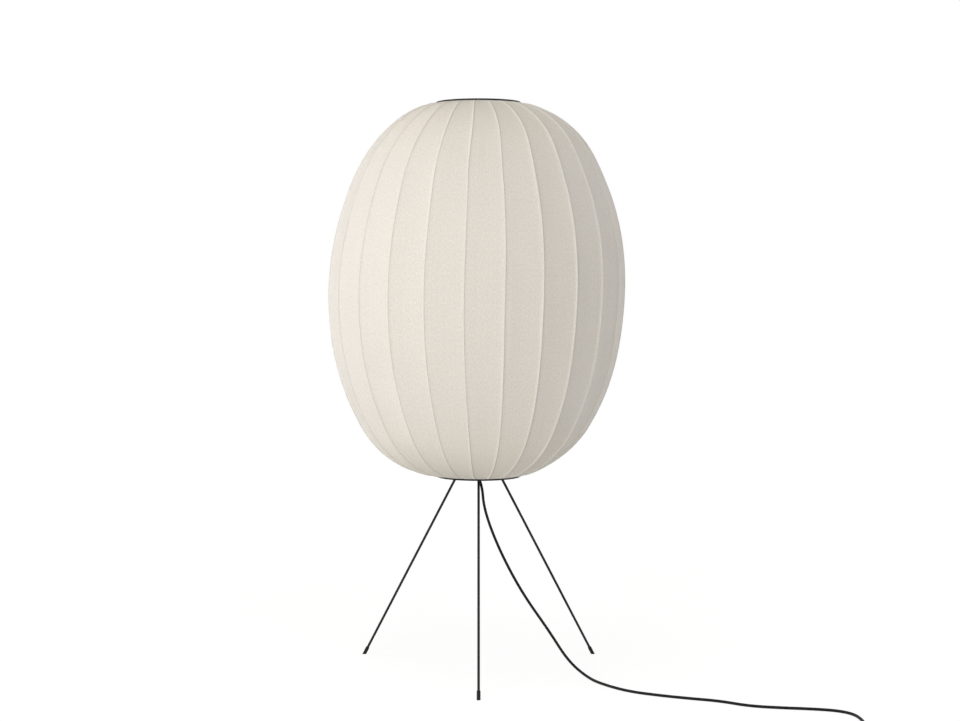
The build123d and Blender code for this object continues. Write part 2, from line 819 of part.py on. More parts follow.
coil_points = [(coil_x, switch_y, coil_rise)]
for i, radius in enumerate(half_turns):
    side = 1 if i % 2 == 0 else -1
    x, y, z = coil_points[-1]
    rise = layer_rise if i == coil_half_turns else 0
    coil_points.append((x - side * math.hypot(radius, rise / 2), y + side * radius, z + rise / 2))
    coil_points.append((x, y + 2 * side * radius, z + rise))
coil_start = (coil_x + cord_diameter, switch_y, coil_rise)
coil_last = coil_points[-1]
coil_end = (coil_x + cord_diameter, coil_last[1], coil_last[2])

with BuildPart() as cord_coil:
    with BuildLine() as path:
        Line(coil_start, coil_points[0])
        for i in range(len(half_turns)):
            ThreePointArc(*coil_points[2 * i : 2 * i + 3])
        Line(coil_last, coil_end)
    with BuildSketch(Plane(origin=path.wire() @ 0, z_dir=path.wire() % 0)):
        Circle(cord_diameter / 2)
    sweep(path=path.wire())
write(cord_coil, "cord_coil")

coil_wire = path.wire()
coil_length = coil_wire.length
samples = [coil_wire @ (i / 900) for i in range(901)]
apart = 3 * cord_diameter
least = min(
    (p - q).length
    for i, p in enumerate(samples)
    for j, q in enumerate(samples)
    if (j - i) * coil_length / 900 > apart
)
print("coil length", round(coil_length, 1), "turns", len(half_turns) / 2)
print("coil's least gap to itself", round(least - cord_diameter, 2))
coil_section = math.pi * cord_diameter**2 / 4
print("coil volume over section times length", round(cord_coil.part.volume / coil_section / coil_length, 4))

# Cord from the switch to the coil, and from the coil to the plug
lead_to_coil = [
    (switch_left + cord_in_switch, switch_y, switch_parting),
    (switch_left - 10, switch_y, switch_parting),
    (switch_left - 28, switch_y - 2, 5.2),
    (coil_start[0] + 17, switch_y, coil_rise),
    coil_start,
]
laid_cord(lead_to_coil, "coil_lead")

plug_middle = plug_height / 2
lead_to_plug = [
    coil_end,
    (coil_end[0] + 18, coil_end[1], coil_end[2]),
    (coil_end[0] + 44, coil_end[1] - 5.4, 9),
    (plug_x - 38, plug_y + 7.5, 7.2),
    (plug_x - 18, plug_y, plug_middle),
    (plug_x, plug_y, plug_middle),
]
laid_cord(lead_to_plug, "plug_lead")

# Tie round the coil's bundle, on the side away from the switch
west = [coil_points[2 * i + 1] for i in range(0, len(half_turns), 2)]
bundle_west = min(p[0] for p in west) - cord_diameter / 2 - tie_clearance
bundle_east = max(p[0] for p in west) + cord_diameter / 2 + tie_clearance
bundle_low = coil_rise - cord_diameter / 2 - tie_clearance
bundle_high = coil_rise + layer_rise + cord_diameter / 2 + tie_clearance
tie_middle = ((bundle_west + bundle_east) / 2, (bundle_low + bundle_high) / 2)

with BuildPart() as cord_tie:
    with BuildSketch(Plane.XZ.offset(-coil_y - tie_width / 2)):
        with Locations(tie_middle):
            Rectangle(
                bundle_east - bundle_west + 2 * tie_thickness,
                bundle_high - bundle_low + 2 * tie_thickness,
            )
            Rectangle(bundle_east - bundle_west, bundle_high - bundle_low, mode=Mode.SUBTRACT)
    extrude(amount=tie_width)
    fillet(cord_tie.edges().filter_by(Axis.Y), radius=tie_edge)
write(cord_tie, "cord_tie")

# Flat two-pin plug lying on the floor
body_start = plug_x + plug_relief_length
body_end = body_start + plug_length
pin_places = [(plug_y - plug_pin_spacing / 2, plug_middle), (plug_y + plug_pin_spacing / 2, plug_middle)]

with BuildPart() as plug_body:
    with BuildSketch(Plane.XY):
        with BuildLine():
            Polyline(
                (body_start, plug_y - plug_waist / 2),
                (body_start + plug_flare, plug_y - plug_width / 2),
                (body_end, plug_y - plug_width / 2),
                (body_end, plug_y + plug_width / 2),
                (body_start + plug_flare, plug_y + plug_width / 2),
                (body_start, plug_y + plug_waist / 2),
                close=True,
            )
        make_face()
    extrude(amount=plug_height)
    fillet(plug_body.edges().filter_by(Axis.Z), radius=plug_corner)
    chamfer(plug_body.edges().group_by(Axis.Z)[-1], length=plug_edge)
    chamfer(plug_body.edges().group_by(Axis.Z)[0], length=plug_edge)
    with BuildSketch(Plane(origin=(plug_x, plug_y, plug_middle), z_dir=(1, 0, 0))):
        Circle(plug_relief_tip)
    with BuildSketch(Plane(origin=(body_start + plug_relief_sunk, plug_y, plug_middle), z_dir=(1, 0, 0))):
        Circle(plug_relief_root)
    loft()
    with BuildSketch(Plane.YZ.offset(body_end)):
        with Locations(*pin_places):
            Circle(plug_pin_radius + plug_pin_fit)
    extrude(amount=-plug_pin_grip, mode=Mode.SUBTRACT)
write(plug_body, "plug_body")

with BuildPart() as plug_pins:
    with BuildSketch(Plane.YZ.offset(body_end - plug_pin_grip)):
        with Locations(*pin_places):
            Circle(plug_pin_radius)
    extrude(amount=plug_pin_grip + plug_pin_length)
    fillet(plug_pins.edges().group_by(Axis.X)[-1], radius=plug_pin_tip)
write(plug_pins, "plug_pins")
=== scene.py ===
import math

import bpy
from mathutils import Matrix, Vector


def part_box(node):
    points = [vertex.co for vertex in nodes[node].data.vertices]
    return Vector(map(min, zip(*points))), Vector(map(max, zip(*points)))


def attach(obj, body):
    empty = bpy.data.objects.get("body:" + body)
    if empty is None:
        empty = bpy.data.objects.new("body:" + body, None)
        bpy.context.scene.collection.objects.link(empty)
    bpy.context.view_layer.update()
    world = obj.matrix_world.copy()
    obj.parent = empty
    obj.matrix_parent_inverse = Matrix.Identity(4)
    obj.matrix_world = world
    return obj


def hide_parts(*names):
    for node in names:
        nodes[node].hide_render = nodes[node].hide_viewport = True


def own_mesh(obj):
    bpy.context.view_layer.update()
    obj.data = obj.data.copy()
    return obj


bl_info = {
    "name": "Knitted Floor Lamp",
    "version": (1, 0, 0),
    "blender": (4, 5, 0),
    "location": "3D View > Sidebar > Lamp",
    "description": "Builds a floor lamp with a ribbed knitted shade on a wire tripod",
    "category": "Add Mesh",
}

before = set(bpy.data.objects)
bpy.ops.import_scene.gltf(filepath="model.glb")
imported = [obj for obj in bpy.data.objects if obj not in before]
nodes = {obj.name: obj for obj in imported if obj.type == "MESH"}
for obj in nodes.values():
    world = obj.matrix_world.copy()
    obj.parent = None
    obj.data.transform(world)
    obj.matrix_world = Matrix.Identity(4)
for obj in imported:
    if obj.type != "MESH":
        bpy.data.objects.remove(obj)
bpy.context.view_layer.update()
LAMP = "lamp"


# Helpers for node trees
NODE_STEP = (190, -230)
NODES_IN_ROW = 12
# Where a colour Mix node has its two colours and its result
MIXED_COLOURS = (6, 7)
MIX_RESULT = 2


def put(tree, kind, inputs=None, **settings):
    """Adds a node, sets its options, and links or sets its inputs."""
    new = tree.nodes.new(kind)
    row, column = divmod(len(tree.nodes), NODES_IN_ROW)
    new.location = (NODE_STEP[0] * column, NODE_STEP[1] * row)
    for name, value in settings.items():
        setattr(new, name, value)
    for name, value in (inputs or {}).items():
        socket = new.inputs[name]
        if isinstance(value, bpy.types.NodeSocket):
            tree.links.new(value, socket)
        else:
            socket.default_value = value
    return new


def calc(tree, operation, *values, clamp=False):
    """A Math node's result."""
    inputs = dict(enumerate(values))
    return put(tree, "ShaderNodeMath", inputs, operation=operation, use_clamp=clamp).outputs[0]


def ramp(tree, value, low, high, out_low=0.0, out_high=1.0, smooth=False):
    """A value taken from one range to another, held at the ends."""
    new = put(
        tree,
        "ShaderNodeMapRange",
        {"Value": value, "From Min": low, "From Max": high, "To Min": out_low, "To Max": out_high},
        interpolation_type="SMOOTHSTEP" if smooth else "LINEAR",
    )
    return new.outputs["Result"]


def mix_colour(tree, factor, first, second):
    """The first colour, turned into the second by a factor."""
    new = put(tree, "ShaderNodeMix", {"Factor": factor}, data_type="RGBA", blend_type="MIX")
    for index, value in zip(MIXED_COLOURS, (first, second)):
        if isinstance(value, bpy.types.NodeSocket):
            tree.links.new(value, new.inputs[index])
        else:
            new.inputs[index].default_value = (*value, 1)
    return new.outputs[MIX_RESULT]


def sockets(tree, inputs, outputs):
    """Named inputs and outputs of a group: inputs are (name, type, default), outputs (name, type)."""
    for name, kind, default in inputs:
        new = tree.interface.new_socket(name, in_out="INPUT", socket_type=kind)
        if default is not None:
            new.default_value = default
    for name, kind in outputs:
        tree.interface.new_socket(name, in_out="OUTPUT", socket_type=kind)


def group_node(tree, group, inputs=None):
    """A group placed in a tree, with its inputs linked or set."""
    new = put(tree, "ShaderNodeGroup" if tree.type == "SHADER" else "GeometryNodeGroup")
    new.node_tree = group
    for name, value in (inputs or {}).items():
        if isinstance(value, bpy.types.NodeSocket):
            tree.links.new(value, new.inputs[name])
        else:
            new.inputs[name].default_value = value
    return new


FLOAT = "NodeSocketFloat"
INTEGER = "NodeSocketInt"
VECTOR = "NodeSocketVector"
GEOMETRY = "NodeSocketGeometry"
MATERIAL = "NodeSocketMaterial"


# Shared surface effects
def grain_group():
    """Fine grain of a coating or a moulded surface, with soft patches of handling."""
    tree = bpy.data.node_groups.new("grain", "ShaderNodeTree")
    sockets(
        tree,
        [("Vector", VECTOR, None), ("Grain size", FLOAT, 0.0008), ("Patch size", FLOAT, 0.03),
         ("Roughness", FLOAT, 0.5), ("Roughness spread", FLOAT, 0.1), ("Dust", FLOAT, 0.1)],
        [("Height", FLOAT), ("Roughness", FLOAT), ("Dust", FLOAT)],
    )
    given = put(tree, "NodeGroupInput").outputs
    fine = put(tree, "ShaderNodeTexNoise", {
        "Vector": given["Vector"], "Scale": calc(tree, "DIVIDE", 1.0, given["Grain size"]), "Detail": 2.0,
    }).outputs["Fac"]
    patch = put(tree, "ShaderNodeTexNoise", {
        "Vector": given["Vector"], "Scale": calc(tree, "DIVIDE", 1.0, given["Patch size"]), "Detail": 4.0,
    }).outputs["Fac"]
    swing = calc(tree, "MULTIPLY", calc(tree, "SUBTRACT", patch, 0.5), given["Roughness spread"])
    rough = calc(tree, "ADD", given["Roughness"], calc(tree, "MULTIPLY", swing, 2.0), clamp=True)
    normal = put(tree, "ShaderNodeNewGeometry").outputs["Normal"]
    up = put(tree, "ShaderNodeSeparateXYZ", {0: normal}).outputs["Z"]
    settled = calc(tree, "MULTIPLY", ramp(tree, up, 0.2, 1.0), ramp(tree, patch, 0.35, 0.7))
    out = put(tree, "NodeGroupOutput")
    tree.links.new(fine, out.inputs["Height"])
    tree.links.new(rough, out.inputs["Roughness"])
    tree.links.new(calc(tree, "MULTIPLY", settled, given["Dust"]), out.inputs["Dust"])
    return tree


# How often the columns wander over a panel's width and over a metre, and by how many columns
WANDERS_ACROSS = 9.0
WANDERS_ALONG = 34.0
COLUMN_WANDER = 1.2
STITCH_SLANT = 1.2
# The gap between two columns, as a share of a column
GAP_SHARE = 0.16
STREAKS_ACROSS = 26.0
STREAKS_ALONG = 3.0
# A painted highlight lies on the lit side of each ridge, this share of its width off the rod
LIT_SIDE_SHIFT = 0.3
HEM_WIDTH = 0.0012
HEM_DEPTH = 1.2


def knit_group():
    """Stitches and ridges on a map of the knit: panels round it, metres along it, a panel's width."""
    tree = bpy.data.node_groups.new("knit stitches", "ShaderNodeTree")
    sockets(
        tree,
        [("Map", VECTOR, None), ("Columns per panel", FLOAT, 44.0), ("Course height", FLOAT, 0.0022),
         ("Ridge width", FLOAT, 0.0016), ("Groove width", FLOAT, 0.0018), ("Length", FLOAT, 1.0),
         ("Mouth reach", FLOAT, 0.28), ("Hem", FLOAT, 0.009), ("Loops per panel", FLOAT, 34.0),
         ("Loop height", FLOAT, 0.0055)],
        [("Height", FLOAT), ("Gap", FLOAT), ("Streak", FLOAT), ("Grain", FLOAT), ("Ridge", FLOAT),
         ("Groove shadow", FLOAT), ("Mouth", FLOAT)],
    )
    given = put(tree, "NodeGroupInput").outputs
    split = put(tree, "ShaderNodeSeparateXYZ", {0: given["Map"]}).outputs
    # Columns wander a little, as they do where a knit is stretched by hand
    drift = put(tree, "ShaderNodeTexNoise", {
        "Vector": put(tree, "ShaderNodeCombineXYZ", {
            "X": calc(tree, "MULTIPLY", split["X"], WANDERS_ACROSS),
            "Y": calc(tree, "MULTIPLY", split["Y"], WANDERS_ALONG),
        }).outputs[0], "Scale": 1.0, "Detail": 2.0,
    }).outputs["Fac"]
    across = calc(tree, "MULTIPLY", split["X"], given["Columns per panel"])
    across = calc(tree, "ADD", across, calc(tree, "MULTIPLY", drift, COLUMN_WANDER))
    along = calc(tree, "DIVIDE", split["Y"], given["Course height"])
    # Each stitch is a V: the course's phase shifts with the distance from the column's middle
    column = calc(tree, "PINGPONG", across, 0.5)
    phase = calc(tree, "ADD", along, calc(tree, "MULTIPLY", column, STITCH_SLANT))
    course = calc(tree, "MULTIPLY", calc(tree, "SINE", calc(tree, "MULTIPLY", phase, math.tau)), 0.5)
    groove = ramp(tree, column, 0.0, GAP_SHARE, smooth=True)
    stitches = calc(tree, "MULTIPLY", groove, calc(tree, "ADD", calc(tree, "MULTIPLY", course, 0.5), 0.75))
    gap = calc(tree, "SUBTRACT", 1.0, groove, clamp=True)
    # Long streaks where the yarn is stretched unevenly
    stretched = put(tree, "ShaderNodeCombineXYZ", {
        "X": calc(tree, "MULTIPLY", split["X"], STREAKS_ACROSS),
        "Y": calc(tree, "MULTIPLY", split["Y"], STREAKS_ALONG),
    }).outputs[0]
    streak = put(tree, "ShaderNodeTexNoise", {
        "Vector": stretched, "Scale": 1.0, "Detail": 3.0,
    }).outputs["Fac"]
    # Loops of uneven size give the knit its grain
    loops = put(tree, "ShaderNodeCombineXYZ", {
        "X": calc(tree, "MULTIPLY", split["X"], given["Loops per panel"]),
        "Y": calc(tree, "DIVIDE", split["Y"], given["Loop height"]),
    }).outputs[0]
    grain = put(tree, "ShaderNodeTexNoise", {"Vector": loops, "Scale": 1.0, "Detail": 1.0}).outputs["Fac"]
    # Metres from the nearest rib, below zero on one side of it
    in_panel = calc(tree, "FRACT", calc(tree, "ADD", split["X"], 0.5))
    side = calc(tree, "MULTIPLY", calc(tree, "SUBTRACT", in_panel, 0.5), split["Z"])
    # Where a painted highlight lies, on the lit side of each ridge
    shift = calc(tree, "MULTIPLY", given["Ridge width"], LIT_SIDE_SHIFT)
    ridge_off = calc(tree, "ABSOLUTE", calc(tree, "ADD", side, shift))
    ridge = ramp(tree, ridge_off, given["Ridge width"], 0.0, smooth=True)
    # Where a painted shadow lies, beside each ridge on the side away from the light
    groove_off = calc(tree, "ABSOLUTE", calc(tree, "SUBTRACT", side, given["Ridge width"]))
    beside = ramp(tree, groove_off, given["Groove width"], 0.0, smooth=True)
    # The knit is gathered towards its mouths and folded in a narrow hem at each
    edge = calc(tree, "MINIMUM", split["Y"], calc(tree, "SUBTRACT", given["Length"], split["Y"]))
    mouth = ramp(tree, edge, given["Mouth reach"], 0.0, smooth=True)
    hem_off = calc(tree, "ABSOLUTE", calc(tree, "SUBTRACT", edge, given["Hem"]))
    hem = ramp(tree, hem_off, HEM_WIDTH, 0.0, smooth=True)
    height = calc(tree, "SUBTRACT", stitches, calc(tree, "MULTIPLY", hem, HEM_DEPTH))
    out = put(tree, "NodeGroupOutput")
    for name, value in (("Height", height), ("Gap", gap), ("Streak", streak), ("Grain", grain),
                        ("Ridge", ridge), ("Groove shadow", beside), ("Mouth", mouth)):
        tree.links.new(value, out.inputs[name])
    return tree


def braid_group():
    """Two sets of strands wound round a cord in opposite turns, from its angle and its length."""
    tree = bpy.data.node_groups.new("braid", "ShaderNodeTree")
    sockets(
        tree,
        [("Braid", VECTOR, None), ("Strands", FLOAT, 8.0), ("Pitch", FLOAT, 0.004)],
        [("Height", FLOAT), ("Strand", FLOAT)],
    )
    given = put(tree, "NodeGroupInput").outputs
    split = put(tree, "ShaderNodeSeparateXYZ", {0: given["Braid"]}).outputs
    angle = calc(tree, "ARCTAN2", split["Y"], split["X"])
    turn = calc(tree, "MULTIPLY", angle, calc(tree, "DIVIDE", given["Strands"], 2.0))
    run = calc(tree, "MULTIPLY", calc(tree, "DIVIDE", split["Z"], given["Pitch"]), math.tau)
    left = calc(tree, "SINE", calc(tree, "ADD", turn, run))
    right = calc(tree, "SINE", calc(tree, "SUBTRACT", turn, run))
    over = calc(tree, "MAXIMUM", calc(tree, "ABSOLUTE", left), calc(tree, "ABSOLUTE", right))
    strand = ramp(tree, calc(tree, "MULTIPLY", left, right), -1.0, 1.0)
    out = put(tree, "NodeGroupOutput")
    tree.links.new(over, out.inputs["Height"])
    tree.links.new(strand, out.inputs["Strand"])
    return tree


groups = {}


def shared(name):
    """A shared effect's group, built the first time it is asked for."""
    makers = {"grain": grain_group, "knit": knit_group, "braid": braid_group, "hang": hang_group}
    if name not in groups:
        groups[name] = makers[name]()
    return groups[name]


# Materials
def shader(name):
    """A new material's tree and its Principled shader."""
    material = bpy.data.materials.new(name)
    material.use_nodes = True
    tree = material.node_tree
    return material, tree, tree.nodes["Principled BSDF"]


def coated(name, colour, roughness, grain=0.0008, depth=0.00005, spread=0.06, metallic=0.0, dust=0.06,
           coat=0.0, specular=0.5, dust_colour=(0.5, 0.48, 0.45)):
    """Paint, plastic, rubber or metal with its grain, handling patches and a little dust on top."""
    material, tree, principled = shader(name)
    place = put(tree, "ShaderNodeTexCoord").outputs["Object"]
    effect = group_node(tree, shared("grain"), {
        "Vector": place, "Grain size": grain, "Patch size": 0.04, "Roughness": roughness,
        "Roughness spread": spread, "Dust": dust,
    }).outputs
    tint = mix_colour(tree, effect["Dust"], colour, dust_colour)
    bump = put(tree, "ShaderNodeBump", {"Height": effect["Height"], "Distance": depth, "Strength": 0.6})
    tree.links.new(tint, principled.inputs["Base Color"])
    tree.links.new(effect["Roughness"], principled.inputs["Roughness"])
    tree.links.new(bump.outputs[0], principled.inputs["Normal"])
    principled.inputs["Metallic"].default_value = metallic
    principled.inputs["Coat Weight"].default_value = coat
    principled.inputs["Specular IOR Level"].default_value = specular
    return material


# How strongly each effect tints the knit: streaks and grain are its own uneven tone, the darker gaps and
# hollows are painted shade
STREAK_TINT = 0.08
GAP_SHADE_TINT = 0.08
HOLLOW_SHADE_TINT = 0.07
GRAIN_TINT = 0.23
# How strongly the ridges' paler tight knit with its painted highlight, and the painted shadow beside them,
# show in the middle of the shade and at its mouths
RIDGE_KNIT_AND_HIGHLIGHT_TINTS = (0.4, 1.0)
GROOVE_SHADOW_TINTS = (0.3, 0.5)


def knit_material(settings, length):
    """Off-white knit on its map, with light coming through its gaps."""
    material, tree, principled = shader("white knit")
    where = put(tree, "ShaderNodeAttribute", attribute_name="knit_map").outputs["Vector"]
    stitch = group_node(tree, shared("knit"), {
        "Map": where, "Columns per panel": settings.columns, "Course height": settings.course,
        "Length": length,
    }).outputs
    colour = mix_colour(tree, stitch["Mouth"], settings.shade_pale, settings.shade_warm)
    # Streaks and grain are the knit's uneven tone; darkening the gaps between columns and the stitches'
    # hollows is painted shade
    for effect, tint in (
        (ramp(tree, stitch["Streak"], 0.35, 0.65, 1.0, 0.0), STREAK_TINT),
        (stitch["Gap"], GAP_SHADE_TINT),
        (ramp(tree, stitch["Height"], 1.0, 0.2), HOLLOW_SHADE_TINT),
        (ramp(tree, stitch["Grain"], 0.62, 0.38), GRAIN_TINT),
    ):
        colour = mix_colour(tree, calc(tree, "MULTIPLY", effect, tint), colour, settings.grain_and_shade_colour)
    # Each ridge gets paler tight knit with a painted highlight, and a painted shadow beside it, both stronger
    # near the mouths
    for effect, tints, tint_colour in (
        (stitch["Ridge"], RIDGE_KNIT_AND_HIGHLIGHT_TINTS, settings.ridge_knit_and_highlight_colour),
        (stitch["Groove shadow"], GROOVE_SHADOW_TINTS, settings.groove_shadow_colour),
    ):
        amount = ramp(tree, stitch["Mouth"], 0.0, 1.0, *tints)
        colour = mix_colour(tree, calc(tree, "MULTIPLY", effect, amount), colour, tint_colour)
    bump = put(tree, "ShaderNodeBump", {"Height": stitch["Height"], "Distance": 0.0006, "Strength": 0.8})
    tree.links.new(colour, principled.inputs["Base Color"])
    tree.links.new(bump.outputs[0], principled.inputs["Normal"])
    tree.links.new(ramp(tree, stitch["Height"], 0.0, 1.0, 0.95, 0.8), principled.inputs["Roughness"])
    cover = calc(tree, "SUBTRACT", 1.0, calc(tree, "MULTIPLY", stitch["Gap"], settings.openness))
    tree.links.new(cover, principled.inputs["Alpha"])
    principled.inputs["Specular IOR Level"].default_value = 0.2
    principled.inputs["Sheen Weight"].default_value = 0.15
    principled.inputs["Sheen Roughness"].default_value = 0.6
    # Some light comes through the knit, so the inside isn't dark
    principled.inputs["Subsurface Weight"].default_value = 0.65
    principled.inputs["Subsurface Radius"].default_value = (1.0, 0.97, 0.92)
    principled.inputs["Subsurface Scale"].default_value = 0.0035
    return material


def cloth_material(settings):
    """Black textile braid round a cord."""
    material, tree, principled = shader("black braided cord")
    where = put(tree, "ShaderNodeAttribute", attribute_name="braid").outputs["Vector"]
    braid = group_node(tree, shared("braid"), {
        "Braid": where, "Strands": settings.strands, "Pitch": settings.pitch,
    }).outputs
    lit = ramp(tree, braid["Strand"], 0.3, 0.9)
    colour = mix_colour(tree, lit, settings.thread_dark, settings.thread_light)
    bump = put(tree, "ShaderNodeBump", {"Height": braid["Height"], "Distance": 0.0003, "Strength": 0.8})
    tree.links.new(colour, principled.inputs["Base Color"])
    tree.links.new(bump.outputs[0], principled.inputs["Normal"])
    tree.links.new(ramp(tree, braid["Height"], 0.0, 1.0, 0.95, 0.7), principled.inputs["Roughness"])
    principled.inputs["Specular IOR Level"].default_value = 0.15
    principled.inputs["Sheen Weight"].default_value = 0.04
    return material


# Finishes: the material's name, colour and roughness, and what else differs from plain paint
FINISHES = {
    "rod": ("white rod", (0.75, 0.74, 0.7), 0.45, {"dust": 0.0}),
    "cap": ("white cap", (0.8, 0.79, 0.76), 0.5, {}),
    "powder": ("black powder coat", (0.009, 0.009, 0.0095), 0.62,
               {"grain": 0.0006, "depth": 0.00002, "dust": 0.004, "specular": 0.2}),
    "rubber": ("black rubber", (0.011, 0.011, 0.011), 0.75,
               {"grain": 0.0005, "depth": 0.00004, "dust": 0.02, "specular": 0.2}),
    "moulded": ("black moulded plastic", (0.012, 0.012, 0.012), 0.4,
                {"grain": 0.0005, "depth": 0.00002, "dust": 0.015, "specular": 0.3}),
    "satin": ("black satin plastic", (0.011, 0.011, 0.011), 0.5,
              {"grain": 0.0007, "depth": 0.00004, "dust": 0.012, "specular": 0.3}),
    "button": ("black button", (0.013, 0.013, 0.013), 0.4,
               {"grain": 0.0007, "depth": 0.00003, "dust": 0.01, "specular": 0.3}),
    "zinc": ("zinc plated steel", (0.55, 0.55, 0.53), 0.35, {"metallic": 1.0, "spread": 0.1, "dust": 0.0}),
    "steel": ("plain steel", (0.6, 0.6, 0.6), 0.3, {"metallic": 1.0, "spread": 0.1, "dust": 0.0}),
    "nickel": ("nickel plate", (0.66, 0.62, 0.54), 0.22, {"metallic": 1.0, "spread": 0.1, "dust": 0.0}),
    "bulb cap": ("bulb cap metal", (0.68, 0.68, 0.67), 0.28, {"metallic": 1.0, "spread": 0.1, "dust": 0.0}),
    "brass": ("brass strip", (0.7, 0.5, 0.22), 0.3, {"metallic": 1.0, "spread": 0.12, "dust": 0.0}),
    "cream": ("cream insert", (0.7, 0.66, 0.58), 0.5, {}),
    "opal": ("opal glass", (0.86, 0.86, 0.84), 0.12,
             {"grain": 0.01, "depth": 0.00002, "coat": 0.6, "dust": 0.02}),
    "core": ("core sheath", (0.25, 0.09, 0.04), 0.45, {}),
}
made = {}


def finish(key):
    """A finish's material, made the first time it is asked for."""
    if key not in made:
        name, colour, roughness, rest = FINISHES[key]
        made[key] = coated(name, colour, roughness, **rest)
    return made[key]


def dress(key, *names):
    """Gives CAD pieces their finish."""
    for name in names:
        slots = nodes[name].data.materials
        slots.clear()
        slots.append(finish(key))


# Geometry trees
# How much finer the knit's steps are beside a rib than between two: 0 for even, under 1
STEP_CROWDING = 0.85
# Keeps a rib's own column of points on one side of it
RIB_NUDGE = 0.0001
MERGE_DISTANCE = 0.00008
# Brings a cord's side to a size near 1 for the braid
SIDE_SCALE = 300.0


def kept_value(tree, name, kind="FLOAT_VECTOR"):
    """What the geometry keeps under a name."""
    return put(tree, "GeometryNodeInputNamedAttribute", {"Name": name}, data_type=kind).outputs[0]


def end_tree(tree, geometry, material):
    """Shades the geometry smooth, makes its instances real and gives it its material."""
    smooth = put(tree, "GeometryNodeSetShadeSmooth", {"Geometry": geometry}).outputs[0]
    real = put(tree, "GeometryNodeRealizeInstances", {"Geometry": smooth}).outputs[0]
    dressed = put(tree, "GeometryNodeSetMaterial", {"Geometry": real, "Material": material}).outputs[0]
    tree.links.new(dressed, put(tree, "NodeGroupOutput").inputs[0])


def hang_group():
    """Where the knit and its rods lie once they lean sideways and bulge to one side."""
    tree = bpy.data.node_groups.new("hang", "GeometryNodeTree")
    sockets(tree, [("Position", VECTOR, None), ("Lean and bulge", VECTOR, None)], [("Position", VECTOR)])
    given = put(tree, "NodeGroupInput").outputs
    place = put(tree, "ShaderNodeSeparateXYZ", {0: given["Position"]}).outputs
    amount = put(tree, "ShaderNodeSeparateXYZ", {0: given["Lean and bulge"]}).outputs
    turn = calc(tree, "ARCTAN2", place["Y"], place["X"])
    across = calc(tree, "COSINE", turn)
    bulge = calc(tree, "MULTIPLY", amount["Y"], across)
    shift = put(tree, "ShaderNodeCombineXYZ", {
        "X": calc(tree, "ADD", amount["X"], calc(tree, "MULTIPLY", bulge, across)),
        "Y": calc(tree, "MULTIPLY", bulge, calc(tree, "SINE", turn)),
    }).outputs[0]
    moved = put(tree, "ShaderNodeVectorMath", {0: given["Position"], 1: shift}, operation="ADD").outputs[0]
    tree.links.new(moved, put(tree, "NodeGroupOutput").inputs["Position"])
    return tree


def crowded(tree, azimuth, amount):
    """A rib's azimuth when the ribs stand closer together at the front than at the back."""
    return calc(tree, "SUBTRACT", azimuth, calc(tree, "MULTIPLY", calc(tree, "COSINE", azimuth), amount))


